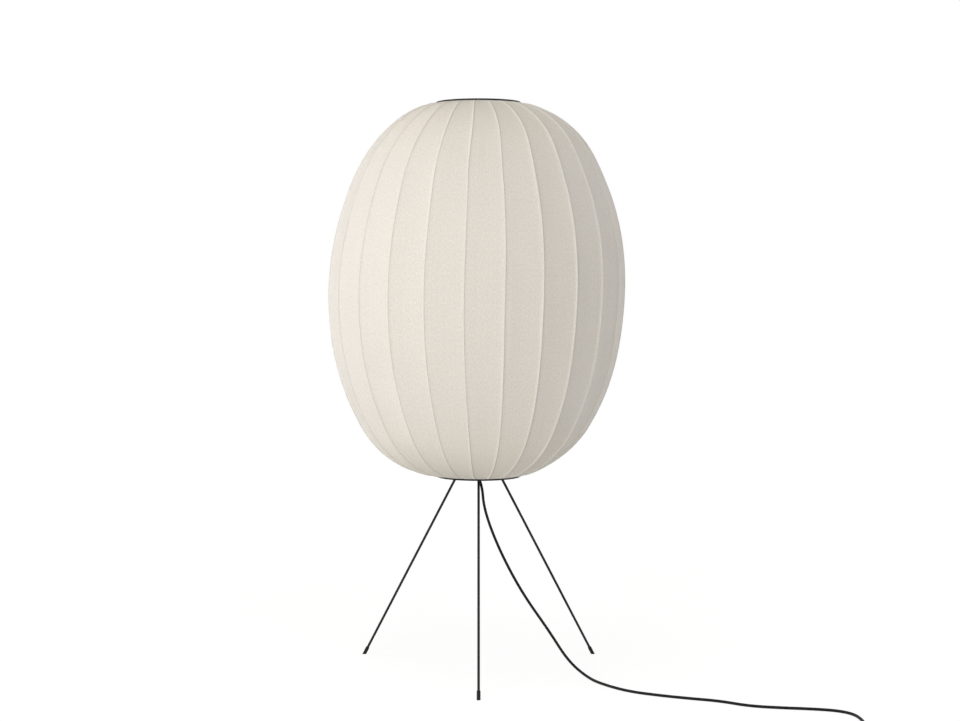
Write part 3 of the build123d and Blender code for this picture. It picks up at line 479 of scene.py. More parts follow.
def shade_tree():
    """The knit: a rib's outline carried round the axis, drawn in between the ribs."""
    tree = bpy.data.node_groups.new("ribbed shade", "GeometryNodeTree")
    sockets(
        tree,
        [("Geometry", GEOMETRY, None), ("Ribs", INTEGER, 24), ("First rib", FLOAT, 0.0),
         ("Steps per panel", INTEGER, 12), ("Steps along", INTEGER, 140), ("Shade radius", FLOAT, 0.325),
         ("Panel sag", FLOAT, 0.003), ("Ridge height", FLOAT, 0.001), ("Ridge width", FLOAT, 0.0025),
         ("Mouth band", FLOAT, 0.022), ("Crowding", FLOAT, 0.0), ("Material", MATERIAL, None)],
        [("Geometry", GEOMETRY)],
    )
    given = put(tree, "NodeGroupInput").outputs
    outline = put(tree, "GeometryNodeMeshToCurve", {0: given["Geometry"]}).outputs[0]
    columns = calc(tree, "ADD", calc(tree, "MULTIPLY", given["Ribs"], given["Steps per panel"]), 1.0)
    rows = calc(tree, "ADD", given["Steps along"], 1.0)
    grid = put(tree, "GeometryNodeMeshGrid", {
        "Size X": 1.0, "Size Y": 1.0, "Vertices X": columns, "Vertices Y": rows,
    }).outputs["Mesh"]
    flat = put(tree, "ShaderNodeSeparateXYZ", {0: put(tree, "GeometryNodeInputPosition").outputs[0]}).outputs
    panels = calc(tree, "MULTIPLY", calc(tree, "ADD", flat["X"], 0.5), given["Ribs"])
    along = calc(tree, "ADD", flat["Y"], 0.5, clamp=True)
    # Steps are finer beside a rib than in the middle of a panel
    wave = calc(tree, "SINE", calc(tree, "MULTIPLY", panels, math.tau))
    wave = calc(tree, "MULTIPLY", wave, STEP_CROWDING / math.tau)
    panels = calc(tree, "SUBTRACT", panels, wave)
    share = calc(tree, "SUBTRACT", calc(tree, "FRACT", calc(tree, "ADD", panels, RIB_NUDGE)), 0.5)
    pitch = calc(tree, "DIVIDE", math.tau, given["Ribs"])
    azimuth = calc(tree, "ADD", given["First rib"], calc(tree, "MULTIPLY", panels, pitch))
    azimuth = crowded(tree, azimuth, given["Crowding"])
    on_rib = put(tree, "GeometryNodeSampleCurve", mode="FACTOR", data_type="FLOAT_VECTOR")
    for name, value in (("Curves", outline), ("Factor", along), ("Value", kept_value(tree, "hang"))):
        tree.links.new(value, next(i for i in on_rib.inputs if i.name == name and i.enabled))
    hang_here = next(o for o in on_rib.outputs if o.name == "Value" and o.enabled)
    on_rib = on_rib.outputs
    rib = put(tree, "ShaderNodeSeparateXYZ", {0: on_rib["Position"]}).outputs
    lie = put(tree, "ShaderNodeSeparateXYZ", {0: on_rib["Tangent"]}).outputs
    radius = rib["X"]
    # Both mouths are round, where the knit lies on its rings
    length = put(tree, "GeometryNodeCurveLength", {0: outline}).outputs[0]
    from_mouth = calc(tree, "MINIMUM", along, calc(tree, "SUBTRACT", 1.0, along))
    from_mouth = calc(tree, "MULTIPLY", from_mouth, length)
    loose = ramp(tree, from_mouth, 0.0, given["Mouth band"], smooth=True)
    half_pitch = calc(tree, "COSINE", calc(tree, "DIVIDE", pitch, 2.0))
    chord = calc(tree, "DIVIDE", half_pitch, calc(tree, "COSINE", calc(tree, "MULTIPLY", share, pitch)))
    chord = calc(tree, "ADD", 1.0, calc(tree, "MULTIPLY", calc(tree, "SUBTRACT", chord, 1.0), loose))
    slack = calc(tree, "SUBTRACT", 1.0, calc(tree, "MULTIPLY", calc(tree, "MULTIPLY", share, share), 4.0))
    size = calc(tree, "DIVIDE", radius, given["Shade radius"])
    sag = calc(tree, "MULTIPLY", calc(tree, "MULTIPLY", given["Panel sag"], size), slack)
    from_rib = calc(tree, "MULTIPLY", calc(tree, "SUBTRACT", 0.5, calc(tree, "ABSOLUTE", share)),
                    calc(tree, "MULTIPLY", pitch, radius))
    near = calc(tree, "DIVIDE", from_rib, given["Ridge width"])
    bell = calc(tree, "EXPONENT", calc(tree, "MULTIPLY", calc(tree, "MULTIPLY", near, near), -1.0))
    out = calc(tree, "SUBTRACT", calc(tree, "MULTIPLY", given["Ridge height"], bell), sag)
    out = calc(tree, "MULTIPLY", out, loose)
    full_radius = calc(tree, "MULTIPLY", radius, chord)
    full_radius = calc(tree, "ADD", full_radius, calc(tree, "MULTIPLY", out, lie["Z"]))
    height = calc(tree, "SUBTRACT", rib["Z"], calc(tree, "MULTIPLY", out, lie["X"]))
    place = put(tree, "ShaderNodeCombineXYZ", {
        "X": calc(tree, "MULTIPLY", full_radius, calc(tree, "COSINE", azimuth)),
        "Y": calc(tree, "MULTIPLY", full_radius, calc(tree, "SINE", azimuth)),
        "Z": height,
    }).outputs[0]
    hung = group_node(tree, shared("hang"), {"Position": place, "Lean and bulge": hang_here}).outputs[0]
    knit_map = put(tree, "ShaderNodeCombineXYZ", {
        "X": panels, "Y": calc(tree, "MULTIPLY", along, length), "Z": calc(tree, "MULTIPLY", pitch, radius),
    }).outputs[0]
    stored = put(tree, "GeometryNodeStoreNamedAttribute", {
        "Geometry": grid, "Name": "knit_map", "Value": knit_map,
    }, data_type="FLOAT_VECTOR", domain="CORNER").outputs[0]
    shaped = put(tree, "GeometryNodeSetPosition", {"Geometry": stored, "Position": hung}).outputs[0]
    closed = put(tree, "GeometryNodeMergeByDistance", {
        "Geometry": shaped, "Distance": MERGE_DISTANCE,
    }).outputs[0]
    end_tree(tree, closed, given["Material"])
    return tree


def rods_tree():
    """Rods behind the ridges: one outline, set round the axis and given its thickness."""
    tree = bpy.data.node_groups.new("rods", "GeometryNodeTree")
    sockets(
        tree,
        [("Geometry", GEOMETRY, None), ("Ribs", INTEGER, 24), ("First rib", FLOAT, 0.0),
         ("Rod radius", FLOAT, 0.0015), ("Sides", INTEGER, 10), ("Crowding", FLOAT, 0.0),
         ("Material", MATERIAL, None)],
        [("Geometry", GEOMETRY)],
    )
    given = put(tree, "NodeGroupInput").outputs
    line = put(tree, "GeometryNodeMeshToCurve", {0: given["Geometry"]}).outputs[0]
    places = put(tree, "GeometryNodePoints", {"Count": given["Ribs"]}).outputs[0]
    index = put(tree, "GeometryNodeInputIndex").outputs[0]
    turn = calc(tree, "ADD", given["First rib"],
                calc(tree, "MULTIPLY", index, calc(tree, "DIVIDE", math.tau, given["Ribs"])))
    turned = put(tree, "ShaderNodeCombineXYZ", {"Z": crowded(tree, turn, given["Crowding"])}).outputs[0]
    copies = put(tree, "GeometryNodeInstanceOnPoints", {
        "Points": places, "Instance": line, "Rotation": turned,
    }).outputs[0]
    real = put(tree, "GeometryNodeRealizeInstances", {"Geometry": copies}).outputs[0]
    hung = group_node(tree, shared("hang"), {
        "Position": put(tree, "GeometryNodeInputPosition").outputs[0],
        "Lean and bulge": kept_value(tree, "hang"),
    }).outputs[0]
    moved = put(tree, "GeometryNodeSetPosition", {"Geometry": real, "Position": hung}).outputs[0]
    profile = put(tree, "GeometryNodeCurvePrimitiveCircle", {
        "Resolution": given["Sides"], "Radius": given["Rod radius"],
    }).outputs[0]
    tube = put(tree, "GeometryNodeCurveToMesh", {
        "Curve": moved, "Profile Curve": profile, "Fill Caps": True,
    }).outputs[0]
    end_tree(tree, tube, given["Material"])
    return tree


def tube_tree():
    """A cord along a line, with its angle and its length kept for the braid."""
    tree = bpy.data.node_groups.new("cord tube", "GeometryNodeTree")
    sockets(
        tree,
        [("Geometry", GEOMETRY, None), ("Diameter", FLOAT, 0.006), ("Sides", INTEGER, 16),
         ("Material", MATERIAL, None)],
        [("Geometry", GEOMETRY)],
    )
    given = put(tree, "NodeGroupInput").outputs
    line = put(tree, "GeometryNodeMeshToCurve", {0: given["Geometry"]}).outputs[0]
    run = put(tree, "GeometryNodeSplineParameter").outputs["Length"]
    kept = put(tree, "GeometryNodeStoreNamedAttribute", {
        "Geometry": line, "Name": "run", "Value": run,
    }, data_type="FLOAT", domain="POINT").outputs[0]
    circle = put(tree, "GeometryNodeCurvePrimitiveCircle", {
        "Resolution": given["Sides"], "Radius": calc(tree, "DIVIDE", given["Diameter"], 2.0),
    }).outputs[0]
    side = put(tree, "GeometryNodeInputPosition").outputs[0]
    around = put(tree, "GeometryNodeStoreNamedAttribute", {
        "Geometry": circle, "Name": "side", "Value": side,
    }, data_type="FLOAT_VECTOR", domain="POINT").outputs[0]
    tube = put(tree, "GeometryNodeCurveToMesh", {
        "Curve": kept, "Profile Curve": around, "Fill Caps": True,
    }).outputs[0]
    split = put(tree, "ShaderNodeSeparateXYZ", {0: kept_value(tree, "side")}).outputs
    braid = put(tree, "ShaderNodeCombineXYZ", {
        "X": calc(tree, "MULTIPLY", split["X"], SIDE_SCALE),
        "Y": calc(tree, "MULTIPLY", split["Y"], SIDE_SCALE),
        "Z": kept_value(tree, "run", "FLOAT"),
    }).outputs[0]
    stored = put(tree, "GeometryNodeStoreNamedAttribute", {
        "Geometry": tube, "Name": "braid", "Value": braid,
    }, data_type="FLOAT_VECTOR", domain="POINT").outputs[0]
    end_tree(tree, stored, given["Material"])
    return tree


trees = {}


def line_object(name, points, hang=None):
    """A piece that starts as an open line of points, with how far each one leans and bulges."""
    mesh = bpy.data.meshes.new(name)
    mesh.from_pydata(points, [(i, i + 1) for i in range(len(points) - 1)], [])
    if hang:
        kept = mesh.attributes.new("hang", "FLOAT_VECTOR", "POINT")
        for item, (lean, bulge) in zip(kept.data, hang):
            item.vector = (lean, bulge, 0)
    piece = bpy.data.objects.new(name, mesh)
    bpy.context.collection.objects.link(piece)
    return piece


def evaluated_mesh(piece):
    """What a piece's modifiers make of it, or a curve's line, as a plain mesh."""
    bpy.context.view_layer.update()
    seen = piece.evaluated_get(bpy.context.evaluated_depsgraph_get())
    return bpy.data.meshes.new_from_object(seen)


def keep_result(piece):
    """Keeps the result of a piece's modifiers as its mesh."""
    mesh = evaluated_mesh(piece)
    piece.modifiers.clear()
    old = piece.data
    piece.data = mesh
    bpy.data.meshes.remove(old)
    mesh.name = piece.name


def grow(piece, maker, values):
    """Runs a geometry tree on a piece and keeps the result."""
    if maker.__name__ not in trees:
        trees[maker.__name__] = maker()
    tree = trees[maker.__name__]
    modifier = piece.modifiers.new("shape", "NODES")
    modifier.node_group = tree
    named = {item.name: item.identifier for item in tree.interface.items_tree if item.in_out == "INPUT"}
    for name, value in values.items():
        modifier[named[name]] = value
    keep_result(piece)


# Where the shade hangs askew: middle and reach of each effect, in shares of a rib from the lower mouth
LOWER_LEAN_SPAN = (0.42, 0.3)
UPPER_LEAN_SPAN = (0.87, 0.13)
FULL_SPAN = (0.27, 0.2)
TIGHT_SPAN = (0.88, 0.12)
BULGE_MIDDLE = 0.1


def hump(share, span):
    """A smooth hump, 1 at its middle and 0 at its reach to either side."""
    middle, reach = span
    off = (share - middle) / reach
    return math.cos(off * math.pi / 2) ** 2 if abs(off) < 1 else 0.0


def hang_at(settings, share):
    """Lean and bulge to the right, and what is added to the radius, at a share of a rib's length."""
    lean = settings.upper_lean * hump(share, UPPER_LEAN_SPAN)
    lean -= settings.lower_lean * hump(share, LOWER_LEAN_SPAN)
    # The bulge to the left grows quickly above the lower mouth and dies away slowly
    risen = share / BULGE_MIDDLE
    bulge = -settings.lower_bulge * risen * math.exp(1 - risen)
    added = settings.lower_fullness * hump(share, FULL_SPAN)
    added -= settings.upper_tightness * hump(share, TIGHT_SPAN)
    return lean, bulge, added


# The shade's outline, as in the frame
def rib_outline(settings, depth, steps):
    """Points of a rib's outline from the lower mouth to the upper one, and how each leans and bulges."""
    half = settings.shade_height / 2
    flank, shoulder = settings.flank_radius, settings.shoulder_radius
    centre = settings.shade_radius - flank
    reach = math.hypot(settings.mouth_radius - centre, half)
    step = flank - shoulder
    along = (reach**2 + step**2 - shoulder**2) / (2 * step)
    join = math.atan2(half, settings.mouth_radius - centre) - math.acos(along / reach)
    shoulder_centre = centre + step * math.cos(join)
    rise = step * math.sin(join)
    end = math.acos((settings.mouth_radius - shoulder_centre) / shoulder)
    bend = (end - join) * shoulder
    length = 2 * bend + 2 * join * flank
    points, hang = [], []
    for i in range(steps + 1):
        share = i / steps
        run = share * length
        if run < bend:
            angle = -end + run / shoulder
        elif run > length - bend:
            angle = end - (length - run) / shoulder
        else:
            angle = -join + (run - bend) / flank
        if abs(angle) <= join:
            radius = centre + (flank - depth) * math.cos(angle)
            height = (flank - depth) * math.sin(angle)
        else:
            radius = shoulder_centre + (shoulder - depth) * math.cos(angle)
            height = math.copysign(rise, angle) + (shoulder - depth) * math.sin(angle)
        lean, bulge, added = hang_at(settings, share)
        points.append((radius + added, 0, settings.middle_height + height))
        hang.append((lean, bulge))
    return points, hang


class ShadeSettings(bpy.types.PropertyGroup):
    """Sizes and colours of the knitted shade"""

    shade_radius: bpy.props.FloatProperty(
        name="Shade radius", description="Over the ribs", default=0.325, unit="LENGTH")
    shade_height: bpy.props.FloatProperty(
        name="Shade height", description="From mouth to mouth", default=0.815, unit="LENGTH")
    mouth_radius: bpy.props.FloatProperty(
        name="Mouth radius", description="Over the ribs at a mouth", default=0.0965, unit="LENGTH")
    flank_radius: bpy.props.FloatProperty(
        name="Flank radius", description="Long arc of a rib", default=0.618, unit="LENGTH")
    shoulder_radius: bpy.props.FloatProperty(
        name="Shoulder radius", description="Short arcs of a rib", default=0.215, unit="LENGTH")
    middle_height: bpy.props.FloatProperty(
        name="Middle height", description="Height of the widest place", default=0.83345, unit="LENGTH")
    ribs: bpy.props.IntProperty(name="Ribs", description="Number of rods", default=24)
    first_rib: bpy.props.FloatProperty(
        name="First rib", description="Azimuth of a rib", default=math.radians(-94.65), subtype="ANGLE")
    panel_sag: bpy.props.FloatProperty(
        name="Panel sag", description="Draw-in between two ribs", default=0.0016, unit="LENGTH")
    ridge_height: bpy.props.FloatProperty(
        name="Ridge height", description="How far the knit stands up over a rod",
        default=0.0016, unit="LENGTH")
    ridge_width: bpy.props.FloatProperty(
        name="Ridge width", description="Half width of a ridge", default=0.0022, unit="LENGTH")
    thickness: bpy.props.FloatProperty(
        name="Knit thickness", description="Of the knit", default=0.0016, unit="LENGTH")
    crowding: bpy.props.FloatProperty(
        name="Crowding", description="How far the ribs are drawn towards the front",
        default=math.radians(0.93), subtype="ANGLE")
    lower_lean: bpy.props.FloatProperty(
        name="Lower lean", description="How far the lower half leans left", default=0.005, unit="LENGTH")
    upper_lean: bpy.props.FloatProperty(
        name="Upper lean", description="How far the upper half leans right", default=0.004, unit="LENGTH")
    lower_bulge: bpy.props.FloatProperty(
        name="Lower bulge", description="Bulge to the left near the lower mouth",
        default=0.010, unit="LENGTH")
    lower_fullness: bpy.props.FloatProperty(
        name="Lower fullness", description="Added to the radius in the lower half",
        default=0.0035, unit="LENGTH")
    upper_tightness: bpy.props.FloatProperty(
        name="Upper tightness", description="Taken off the radius near the top",
        default=0.0035, unit="LENGTH")
    rod_radius: bpy.props.FloatProperty(
        name="Rod radius", description="Of a rod", default=0.0015, unit="LENGTH")
    rod_depth: bpy.props.FloatProperty(
        name="Rod depth", description="Rod's middle inside the knit's face", default=0.00445, unit="LENGTH")
    columns: bpy.props.FloatProperty(name="Columns", description="Columns of stitches in a panel", default=44)
    course: bpy.props.FloatProperty(
        name="Course height", description="Of a row of stitches", default=0.0022, unit="LENGTH")
    openness: bpy.props.FloatProperty(
        name="Openness", description="How far the gaps between columns let light by", default=0.35)
    shade_pale: bpy.props.FloatVectorProperty(
        name="Pale knit", description="Knit where it is pale", default=(0.895, 0.828, 0.748), subtype="COLOR")
    shade_warm: bpy.props.FloatVectorProperty(
        name="Warm knit", description="Knit where it is warmer",
        default=(0.88, 0.797, 0.678), subtype="COLOR")
    # Partly the paler tight knit over a rod, partly a painted highlight
    ridge_knit_and_highlight_colour: bpy.props.FloatVectorProperty(
        name="Ridge", description="Tight knit over a rod", default=(0.97, 0.93, 0.85), subtype="COLOR")
    # The colour of the painted shadow beside each ridge
    groove_shadow_colour: bpy.props.FloatVectorProperty(
        name="Grooves", description="Knit drawn in beside a ridge",
        default=(0.46, 0.41, 0.36), subtype="COLOR")
    # Darker knit for streaks and grain, also used as painted shade in the gaps and hollows
    grain_and_shade_colour: bpy.props.FloatVectorProperty(
        name="Grain and shade", description="Between columns of stitches", default=(0.55, 0.5, 0.43), subtype="COLOR")


class CordSettings(bpy.types.PropertyGroup):
    """Sizes and colours of the cord"""

    diameter: bpy.props.FloatProperty(
        name="Diameter", description="Of the cord", default=0.006, unit="LENGTH")
    strands: bpy.props.FloatProperty(name="Strands", description="Strands wound each way", default=8)
    pitch: bpy.props.FloatProperty(
        name="Pitch", description="Length of one turn of the braid", default=0.006, unit="LENGTH")
    thread_dark: bpy.props.FloatVectorProperty(
        name="Dark thread", description="Thread in shade", default=(0.004, 0.004, 0.004), subtype="COLOR")
    thread_light: bpy.props.FloatVectorProperty(
        name="Light thread", description="Thread in light", default=(0.012, 0.012, 0.0125), subtype="COLOR")


class StageSettings(bpy.types.PropertyGroup):
    """Camera, light and floor"""

    camera_distance: bpy.props.FloatProperty(
        name="Camera distance", description="From the lamp's axis", default=4.0506, unit="LENGTH")
    camera_height: bpy.props.FloatProperty(
        name="Camera height", description="Over the floor", default=0.8745, unit="LENGTH")
    lens: bpy.props.FloatProperty(name="Lens", description="Focal length in millimetres", default=69.04)
    light_distance: bpy.props.FloatProperty(
        name="Light distance", description="From the shade's middle", default=4.6, unit="LENGTH")
    key_power: bpy.props.FloatProperty(name="Key light", description="Power in watts", default=102.0)
    left_rim_power: bpy.props.FloatProperty(name="Left rim light", description="Power in watts", default=64.0)
    right_rim_power: bpy.props.FloatProperty(
        name="Right rim light", description="Power in watts", default=48.0)
    top_power: bpy.props.FloatProperty(name="Top light", description="Power in watts", default=36.0)
    fill_power: bpy.props.FloatProperty(name="Fill light", description="Power in watts", default=25.0)
    floor_glow: bpy.props.FloatProperty(
        name="Floor glow", description="Share of plain white in the floor near the lamp", default=0.8)
    ambient: bpy.props.FloatProperty(
        name="Ambient", description="Strength of the light from all round", default=0.385)
    ambient_colour: bpy.props.FloatVectorProperty(
        name="Ambient colour", description="Colour of the light from all round",
        default=(1.0, 0.985, 0.96), subtype="COLOR")


def settings():
    """The shade's, the cord's and the stage's settings."""
    return bpy.context.scene.lamp_shade, bpy.context.scene.lamp_cord, bpy.context.scene.lamp_stage


OUTLINE_STEPS = 200
ROD_STEPS = 96


class LAMP_OT_shade(bpy.types.Operator):
    """Builds the knit and the rods behind its ridges"""

    bl_idname = "lamp.shade"
    bl_label = "Knitted shade"

    def execute(self, context):
        shade = settings()[0]
        outline, hang = rib_outline(shade, 0.0, OUTLINE_STEPS)
        knit = line_object("shade_knit", outline, hang)
        grow(knit, shade_tree, {
            "Ribs": shade.ribs, "First rib": shade.first_rib, "Shade radius": shade.shade_radius,
            "Panel sag": shade.panel_sag, "Ridge height": shade.ridge_height,
            "Ridge width": shade.ridge_width, "Crowding": shade.crowding,
            "Material": knit_material(shade, length_of(outline)),
        })
        wall = knit.modifiers.new("thickness", "SOLIDIFY")
        wall.thickness = shade.thickness
        wall.offset = -1
        keep_result(knit)
        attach(knit, LAMP)
        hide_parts("knitted_shade")
        rods = line_object("shade_rods", *rib_outline(shade, shade.rod_depth, ROD_STEPS))
        grow(rods, rods_tree, {
            "Ribs": shade.ribs, "First rib": shade.first_rib, "Rod radius": shade.rod_radius,
            "Crowding": shade.crowding, "Material": finish("rod"),
        })
        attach(rods, LAMP)
        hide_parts(*[f"rib_rod_{i:02d}" for i in range(1, shade.ribs + 1)])
        dress("cap", "rib_caps_top", "rib_caps_bottom")
        return {"FINISHED"}


class LAMP_OT_stand(bpy.types.Operator):
    """Finishes the rings, the hub, the legs and the feet"""

    bl_idname = "lamp.stand"
    bl_label = "Rings and tripod"

    def execute(self, context):
        dress("powder", "top_ring", "bottom_ring", "leg_hub", "leg_front", "leg_back_right",
              "leg_back_left", "leg_lock_nuts")
        dress("rubber", "foot_front", "foot_back_right", "foot_back_left")
        return {"FINISHED"}


class LAMP_OT_lampholder(bpy.types.Operator):
    """Finishes the stem, the lampholder and the bulb"""

    bl_idname = "lamp.lampholder"
    bl_label = "Lampholder and bulb"

    def execute(self, context):
        dress("moulded", "holder_cap", "holder_shell", "shade_ring_nut", "cord_gland")
        dress("zinc", "stem_tube")
        dress("cream", "holder_insert")
        dress("brass", "holder_contacts", "switch_contacts")
        dress("bulb cap", "bulb_base")
        dress("opal", "bulb_globe")
        return {"FINISHED"}


# The cord's route, from the gland to the foot switch
SUPPLY_ROUTE = [
    (0, 0, 0.43604), (0, 0, 0.420), (0.0082, -0.002, 0.396), (0.0112, -0.003, 0.357),
    (0.029, -0.007, 0.301), (0.0604, -0.015, 0.232), (0.1006, -0.027, 0.162), (0.153, -0.046, 0.091),
    (0.1935, -0.076, 0.031), (0.2355, -0.119, 0.003), (0.2675, -0.182, 0.003), (0.311, -0.238, 0.003),
    (0.366, -0.272, 0.003), (0.429, -0.301, 0.003), (0.488, -0.323, 0.003), (0.541, -0.366, 0.003),
    (0.604, -0.3815, 0.003), (0.664, -0.391, 0.003), (0.711, -0.405, 0.003), (0.738, -0.434, 0.003),
    (0.744, -0.480, 0.003), (0.742, -0.536, 0.003), (0.724, -0.588, 0.003), (0.694, -0.618, 0.0045),
    (0.664, -0.626, 0.008), (0.630, -0.626, 0.008),
]
TAIL_START = [
    (0.554, -0.626, 0.008), (0.536, -0.626, 0.008), (0.518, -0.628, 0.0052), (0.501, -0.626, 0.0041),
    (0.484, -0.626, 0.0041),
]
# The coil: where its first turn starts, its middle radius, the gap between turns, half turns in a layer
COIL_START = (0.478, -0.626, 0.0041)
COIL_RADIUS = 0.034
COIL_GAP = 0.0006
COIL_HALVES = 4
HALF_TURN_POINTS = 8
# A spline runs inside its points, so a turn's points stand a little outside its radius
POINTS_OUTSIDE = 1.0097
PLUG_ENTRY = (0.590, -0.5745, 0.0068)
# The cord inside the stem: its sheath ends over the stem, and its two cores go on to the lampholder
SHEATH_OVER_STEM = 0.002
CORE_DIAMETER = 0.002
CORE_OFFSET = 0.0015


def coil_route(diameter):
    """The coil's turns in two layers, and where they end."""
    x, y, low = COIL_START
    step = (diameter + COIL_GAP) / 2
    rise = diameter + COIL_GAP
    radii = [COIL_RADIUS + step * ((COIL_HALVES - 1) / 2 - i) for i in range(COIL_HALVES)]
    turns = radii + [radii[-1] - step] + radii[::-1]
    points = []
    for number, radius in enumerate(turns):
        side = 1 if number % 2 == 0 else -1
        centre = y + side * radius
        climb = rise if number == COIL_HALVES else 0
        wide = radius * POINTS_OUTSIDE
        for k in range(HALF_TURN_POINTS):
            share = (k + 0.5) / HALF_TURN_POINTS
            across = side * wide * math.sin(math.pi * share)
            forward = side * wide * math.cos(math.pi * share)
            points.append((x - across, centre - forward, low + climb * share))
        y += 2 * side * radius
        low += climb
    return points, (x, y, low)


def centre_line(name, route):
    """The smooth line that a cord follows, read from a spline over its route."""
    curve = bpy.data.curves.new(name, "CURVE")
    curve.dimensions = "3D"
    spline = curve.splines.new("NURBS")
    spline.points.add(len(route) - 1)
    for point, place in zip(spline.points, route):
        point.co = (*place, 1)
    spline.order_u = 3
    spline.use_endpoint_u = True
    spline.resolution_u = 8
    helper = bpy.data.objects.new(name, curve)
    bpy.context.collection.objects.link(helper)
    mesh = evaluated_mesh(helper)
    points = [tuple(v.co) for v in mesh.vertices]
    bpy.data.meshes.remove(mesh)
    bpy.data.objects.remove(helper)
    bpy.data.curves.remove(curve)
    return points


def laid_cord(name, route, diameter, material):
    """A cord's piece along its route, and the smooth line that it follows."""
    points = centre_line(name, route)
    piece = line_object(name, points)
    grow(piece, tube_tree, {"Diameter": diameter, "Material": material})
    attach(piece, LAMP)
    return piece, points


def length_of(points):
    """A line's length through its points."""
    return sum(math.dist(a, b) for a, b in zip(points, points[1:]))


class LAMP_OT_cord(bpy.types.Operator):
    """Lays the cord from the gland to the foot switch, and on through its coil to the plug"""

    bl_idname = "lamp.cord"
    bl_label = "Cord"

    def execute(self, context):
        cord = settings()[1]
        cloth = cloth_material(cord)
        supply, points = laid_cord("cord_supply", SUPPLY_ROUTE, cord.diameter, cloth)
        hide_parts("supply_cord")
        turns, last = coil_route(cord.diameter)
        plug = PLUG_ENTRY
        route = TAIL_START + turns
        route += [(last[0] + 0.006, last[1], last[2]), (last[0] + 0.024, last[1], last[2]),
                  (last[0] + 0.050, last[1] - 0.0054, 0.009), (plug[0] - 0.038, plug[1] + 0.0075, 0.0072),
                  (plug[0] - 0.018, plug[1], plug[2]), plug]
        tail, points = laid_cord("cord_tail", route, cord.diameter, cloth)
        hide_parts("coil_lead", "cord_coil", "plug_lead")
        low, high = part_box("inner_cord")
        sheath_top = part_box("stem_tube")[1].z + SHEATH_OVER_STEM
        upright = [(0, 0, low.z), (0, 0, (low.z + sheath_top) / 2), (0, 0, sheath_top)]
        sheath = laid_cord("cord_in_stem", upright, cord.diameter, cloth)[0]
        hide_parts("inner_cord")
        for number, side in enumerate((-1, 1), start=1):
            x = side * CORE_OFFSET
            upright = [(x, 0, sheath_top), (x, 0, (sheath_top + high.z) / 2), (x, 0, high.z)]
            laid_cord(f"core_{number}", upright, CORE_DIAMETER, finish("core"))
        return {"FINISHED"}


class LAMP_OT_switch(bpy.types.Operator):
    """Finishes the foot switch and the plug"""

    bl_idname = "lamp.switch"
    bl_label = "Foot switch and plug"

    def execute(self, context):
        dress("satin", "switch_base", "switch_cover", "plug_body", "cord_tie")
        dress("button", "switch_button")
        dress("steel", "switch_spring", "switch_screws")
        # The spring stands on its seat under the button, and gets a mesh of its own
        spring = nodes["switch_spring"]
        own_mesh(spring)
        dress("nickel", "plug_pins")
        return {"FINISHED"}


# The floor: its reach, the strength that makes it white, and where its matt part fades out
FLOOR_REACH = 400.0
FLOOR_STRENGTH = 1.075
SHADOW_FULL = 0.8
SHADOW_END = 4.0
FAR_GLOW = 0.9
LIGHT_SIZE = (1.4, 2.2)
LIGHT_AIM = (0, 0, 0.85)
CAMERA_SHIFT = (0.00146, -0.09373)
SENSOR_WIDTH = 36.0


def seen_directly(tree):
    """1 where the camera, or a shiny or clear surface, looks at the background, and 0 for other light."""
    rays = put(tree, "ShaderNodeLightPath").outputs
    shiny = calc(tree, "ADD", rays["Is Glossy Ray"], rays["Is Transmission Ray"])
    return calc(tree, "ADD", rays["Is Camera Ray"], shiny, clamp=True)


def add_floor(stage):
    """A floor that looks plain white and keeps the lamp's shadow."""
    mesh = bpy.data.meshes.new("floor")
    corners = [(x * FLOOR_REACH, y * FLOOR_REACH, 0) for x, y in ((-1, -1), (1, -1), (1, 1), (-1, 1))]
    mesh.from_pydata(corners, [], [(0, 1, 2, 3)])
    floor = bpy.data.objects.new("floor", mesh)
    bpy.context.scene.collection.objects.link(floor)
    pale = bpy.data.materials.new("pale floor")
    pale.use_nodes = True
    tree = pale.node_tree
    tree.nodes.clear()
    matt = put(tree, "ShaderNodeBsdfDiffuse", {"Color": (0.9, 0.9, 0.9, 1)}).outputs[0]
    white = put(tree, "ShaderNodeEmission", {"Color": (1, 1, 1, 1), "Strength": FLOOR_STRENGTH}).outputs[0]
    # More of the matt floor shows near the lamp, where it keeps the lamp's shadow
    place = put(tree, "ShaderNodeTexCoord").outputs["Object"]
    away = put(tree, "ShaderNodeVectorMath", {0: place}, operation="LENGTH").outputs["Value"]
    glow = ramp(tree, away, SHADOW_FULL, SHADOW_END, stage.floor_glow, FAR_GLOW)
    share = calc(tree, "MULTIPLY", seen_directly(tree), glow)
    mixed = put(tree, "ShaderNodeMixShader", {0: share, 1: matt, 2: white}).outputs[0]
    put(tree, "ShaderNodeOutputMaterial", {"Surface": mixed})
    mesh.materials.append(pale)


def set_background(stage):
    """White where it is seen, and a plain even light everywhere else."""
    world = bpy.data.worlds.new("studio")
    bpy.context.scene.world = world
    world.use_nodes = True
    tree = world.node_tree
    tree.nodes.clear()
    around = put(tree, "ShaderNodeBackground", {
        "Color": (*stage.ambient_colour, 1), "Strength": stage.ambient,
    }).outputs[0]
    plain = put(tree, "ShaderNodeBackground", {"Color": (1, 1, 1, 1), "Strength": 1.0}).outputs[0]
    glow = put(tree, "ShaderNodeMixShader", {0: seen_directly(tree), 1: around, 2: plain}).outputs[0]
    put(tree, "ShaderNodeOutputWorld", {"Surface": glow})


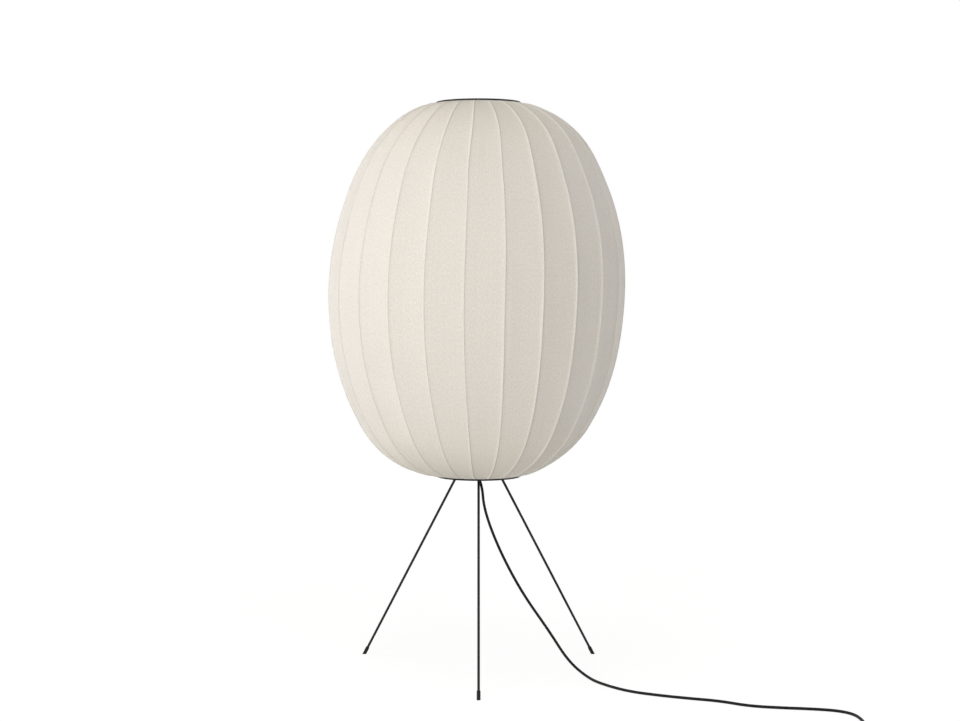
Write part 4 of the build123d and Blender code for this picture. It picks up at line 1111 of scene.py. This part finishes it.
def add_lights(stage):
    """Five soft lights round the lamp, each by its azimuth, its elevation and its power."""
    for name, azimuth, elevation, power in (
        ("key light", -115, 8, stage.key_power), ("left rim light", -195, 8, stage.left_rim_power),
        ("right rim light", 40, 8, stage.right_rim_power), ("top light", -120, 75, stage.top_power),
        ("fill light", -60, 40, stage.fill_power),
    ):
        lamp = bpy.data.lights.new(name, "AREA")
        lamp.shape = "RECTANGLE"
        lamp.size, lamp.size_y = LIGHT_SIZE
        lamp.energy = power
        holder = bpy.data.objects.new(name, lamp)
        bpy.context.scene.collection.objects.link(holder)
        turn, rise = math.radians(azimuth), math.radians(elevation)
        level = math.cos(rise)
        way = Vector((math.cos(turn) * level, math.sin(turn) * level, math.sin(rise)))
        holder.location = Vector(LIGHT_AIM) + way * stage.light_distance
        holder.rotation_euler = (-way).to_track_quat("-Z", "Y").to_euler()


def add_camera(stage):
    """A level camera in front of the lamp, shifted to the picture's frame."""
    camera = bpy.data.cameras.new("camera")
    camera.sensor_fit = "HORIZONTAL"
    camera.sensor_width = SENSOR_WIDTH
    camera.lens = stage.lens
    camera.shift_x, camera.shift_y = CAMERA_SHIFT
    holder = bpy.data.objects.new("camera", camera)
    bpy.context.scene.collection.objects.link(holder)
    holder.location = (0, -stage.camera_distance, stage.camera_height)
    holder.rotation_euler = (math.radians(90), 0, 0)
    bpy.context.scene.camera = holder


class LAMP_OT_stage(bpy.types.Operator):
    """Sets the floor, the lights, the background and the camera"""

    bl_idname = "lamp.stage"
    bl_label = "Stage"

    def execute(self, context):
        stage = settings()[2]
        add_floor(stage)
        set_background(stage)
        add_lights(stage)
        add_camera(stage)
        context.scene.view_settings.view_transform = "Standard"
        return {"FINISHED"}


STEPS = (LAMP_OT_stage, LAMP_OT_cord, LAMP_OT_shade, LAMP_OT_stand, LAMP_OT_lampholder, LAMP_OT_switch)


class LAMP_PT_panel(bpy.types.Panel):
    """Lists the steps that build the lamp"""

    bl_idname = "LAMP_PT_panel"
    bl_label = "Knitted floor lamp"
    bl_space_type = "VIEW_3D"
    bl_region_type = "UI"
    bl_category = "Lamp"

    def draw(self, context):
        for step in STEPS:
            self.layout.operator(step.bl_idname)
        for name in ("lamp_shade", "lamp_cord", "lamp_stage"):
            group = getattr(context.scene, name)
            box = self.layout.box()
            for key in group.bl_rna.properties.keys():
                if key not in ("rna_type", "name"):
                    box.prop(group, key)


CLASSES = (ShadeSettings, CordSettings, StageSettings) + STEPS + (LAMP_PT_panel,)


def register():
    for cls in CLASSES:
        bpy.utils.register_class(cls)
    bpy.types.Scene.lamp_shade = bpy.props.PointerProperty(type=ShadeSettings)
    bpy.types.Scene.lamp_cord = bpy.props.PointerProperty(type=CordSettings)
    bpy.types.Scene.lamp_stage = bpy.props.PointerProperty(type=StageSettings)


def unregister():
    del bpy.types.Scene.lamp_stage
    del bpy.types.Scene.lamp_cord
    del bpy.types.Scene.lamp_shade
    for cls in reversed(CLASSES):
        bpy.utils.unregister_class(cls)


def main():
    """Builds the lamp on its stage."""
    register()
    bpy.ops.lamp.stage()
    bpy.ops.lamp.cord()
    bpy.ops.lamp.shade()
    bpy.ops.lamp.stand()
    bpy.ops.lamp.lampholder()
    bpy.ops.lamp.switch()


if __name__ == "__main__":
    main()
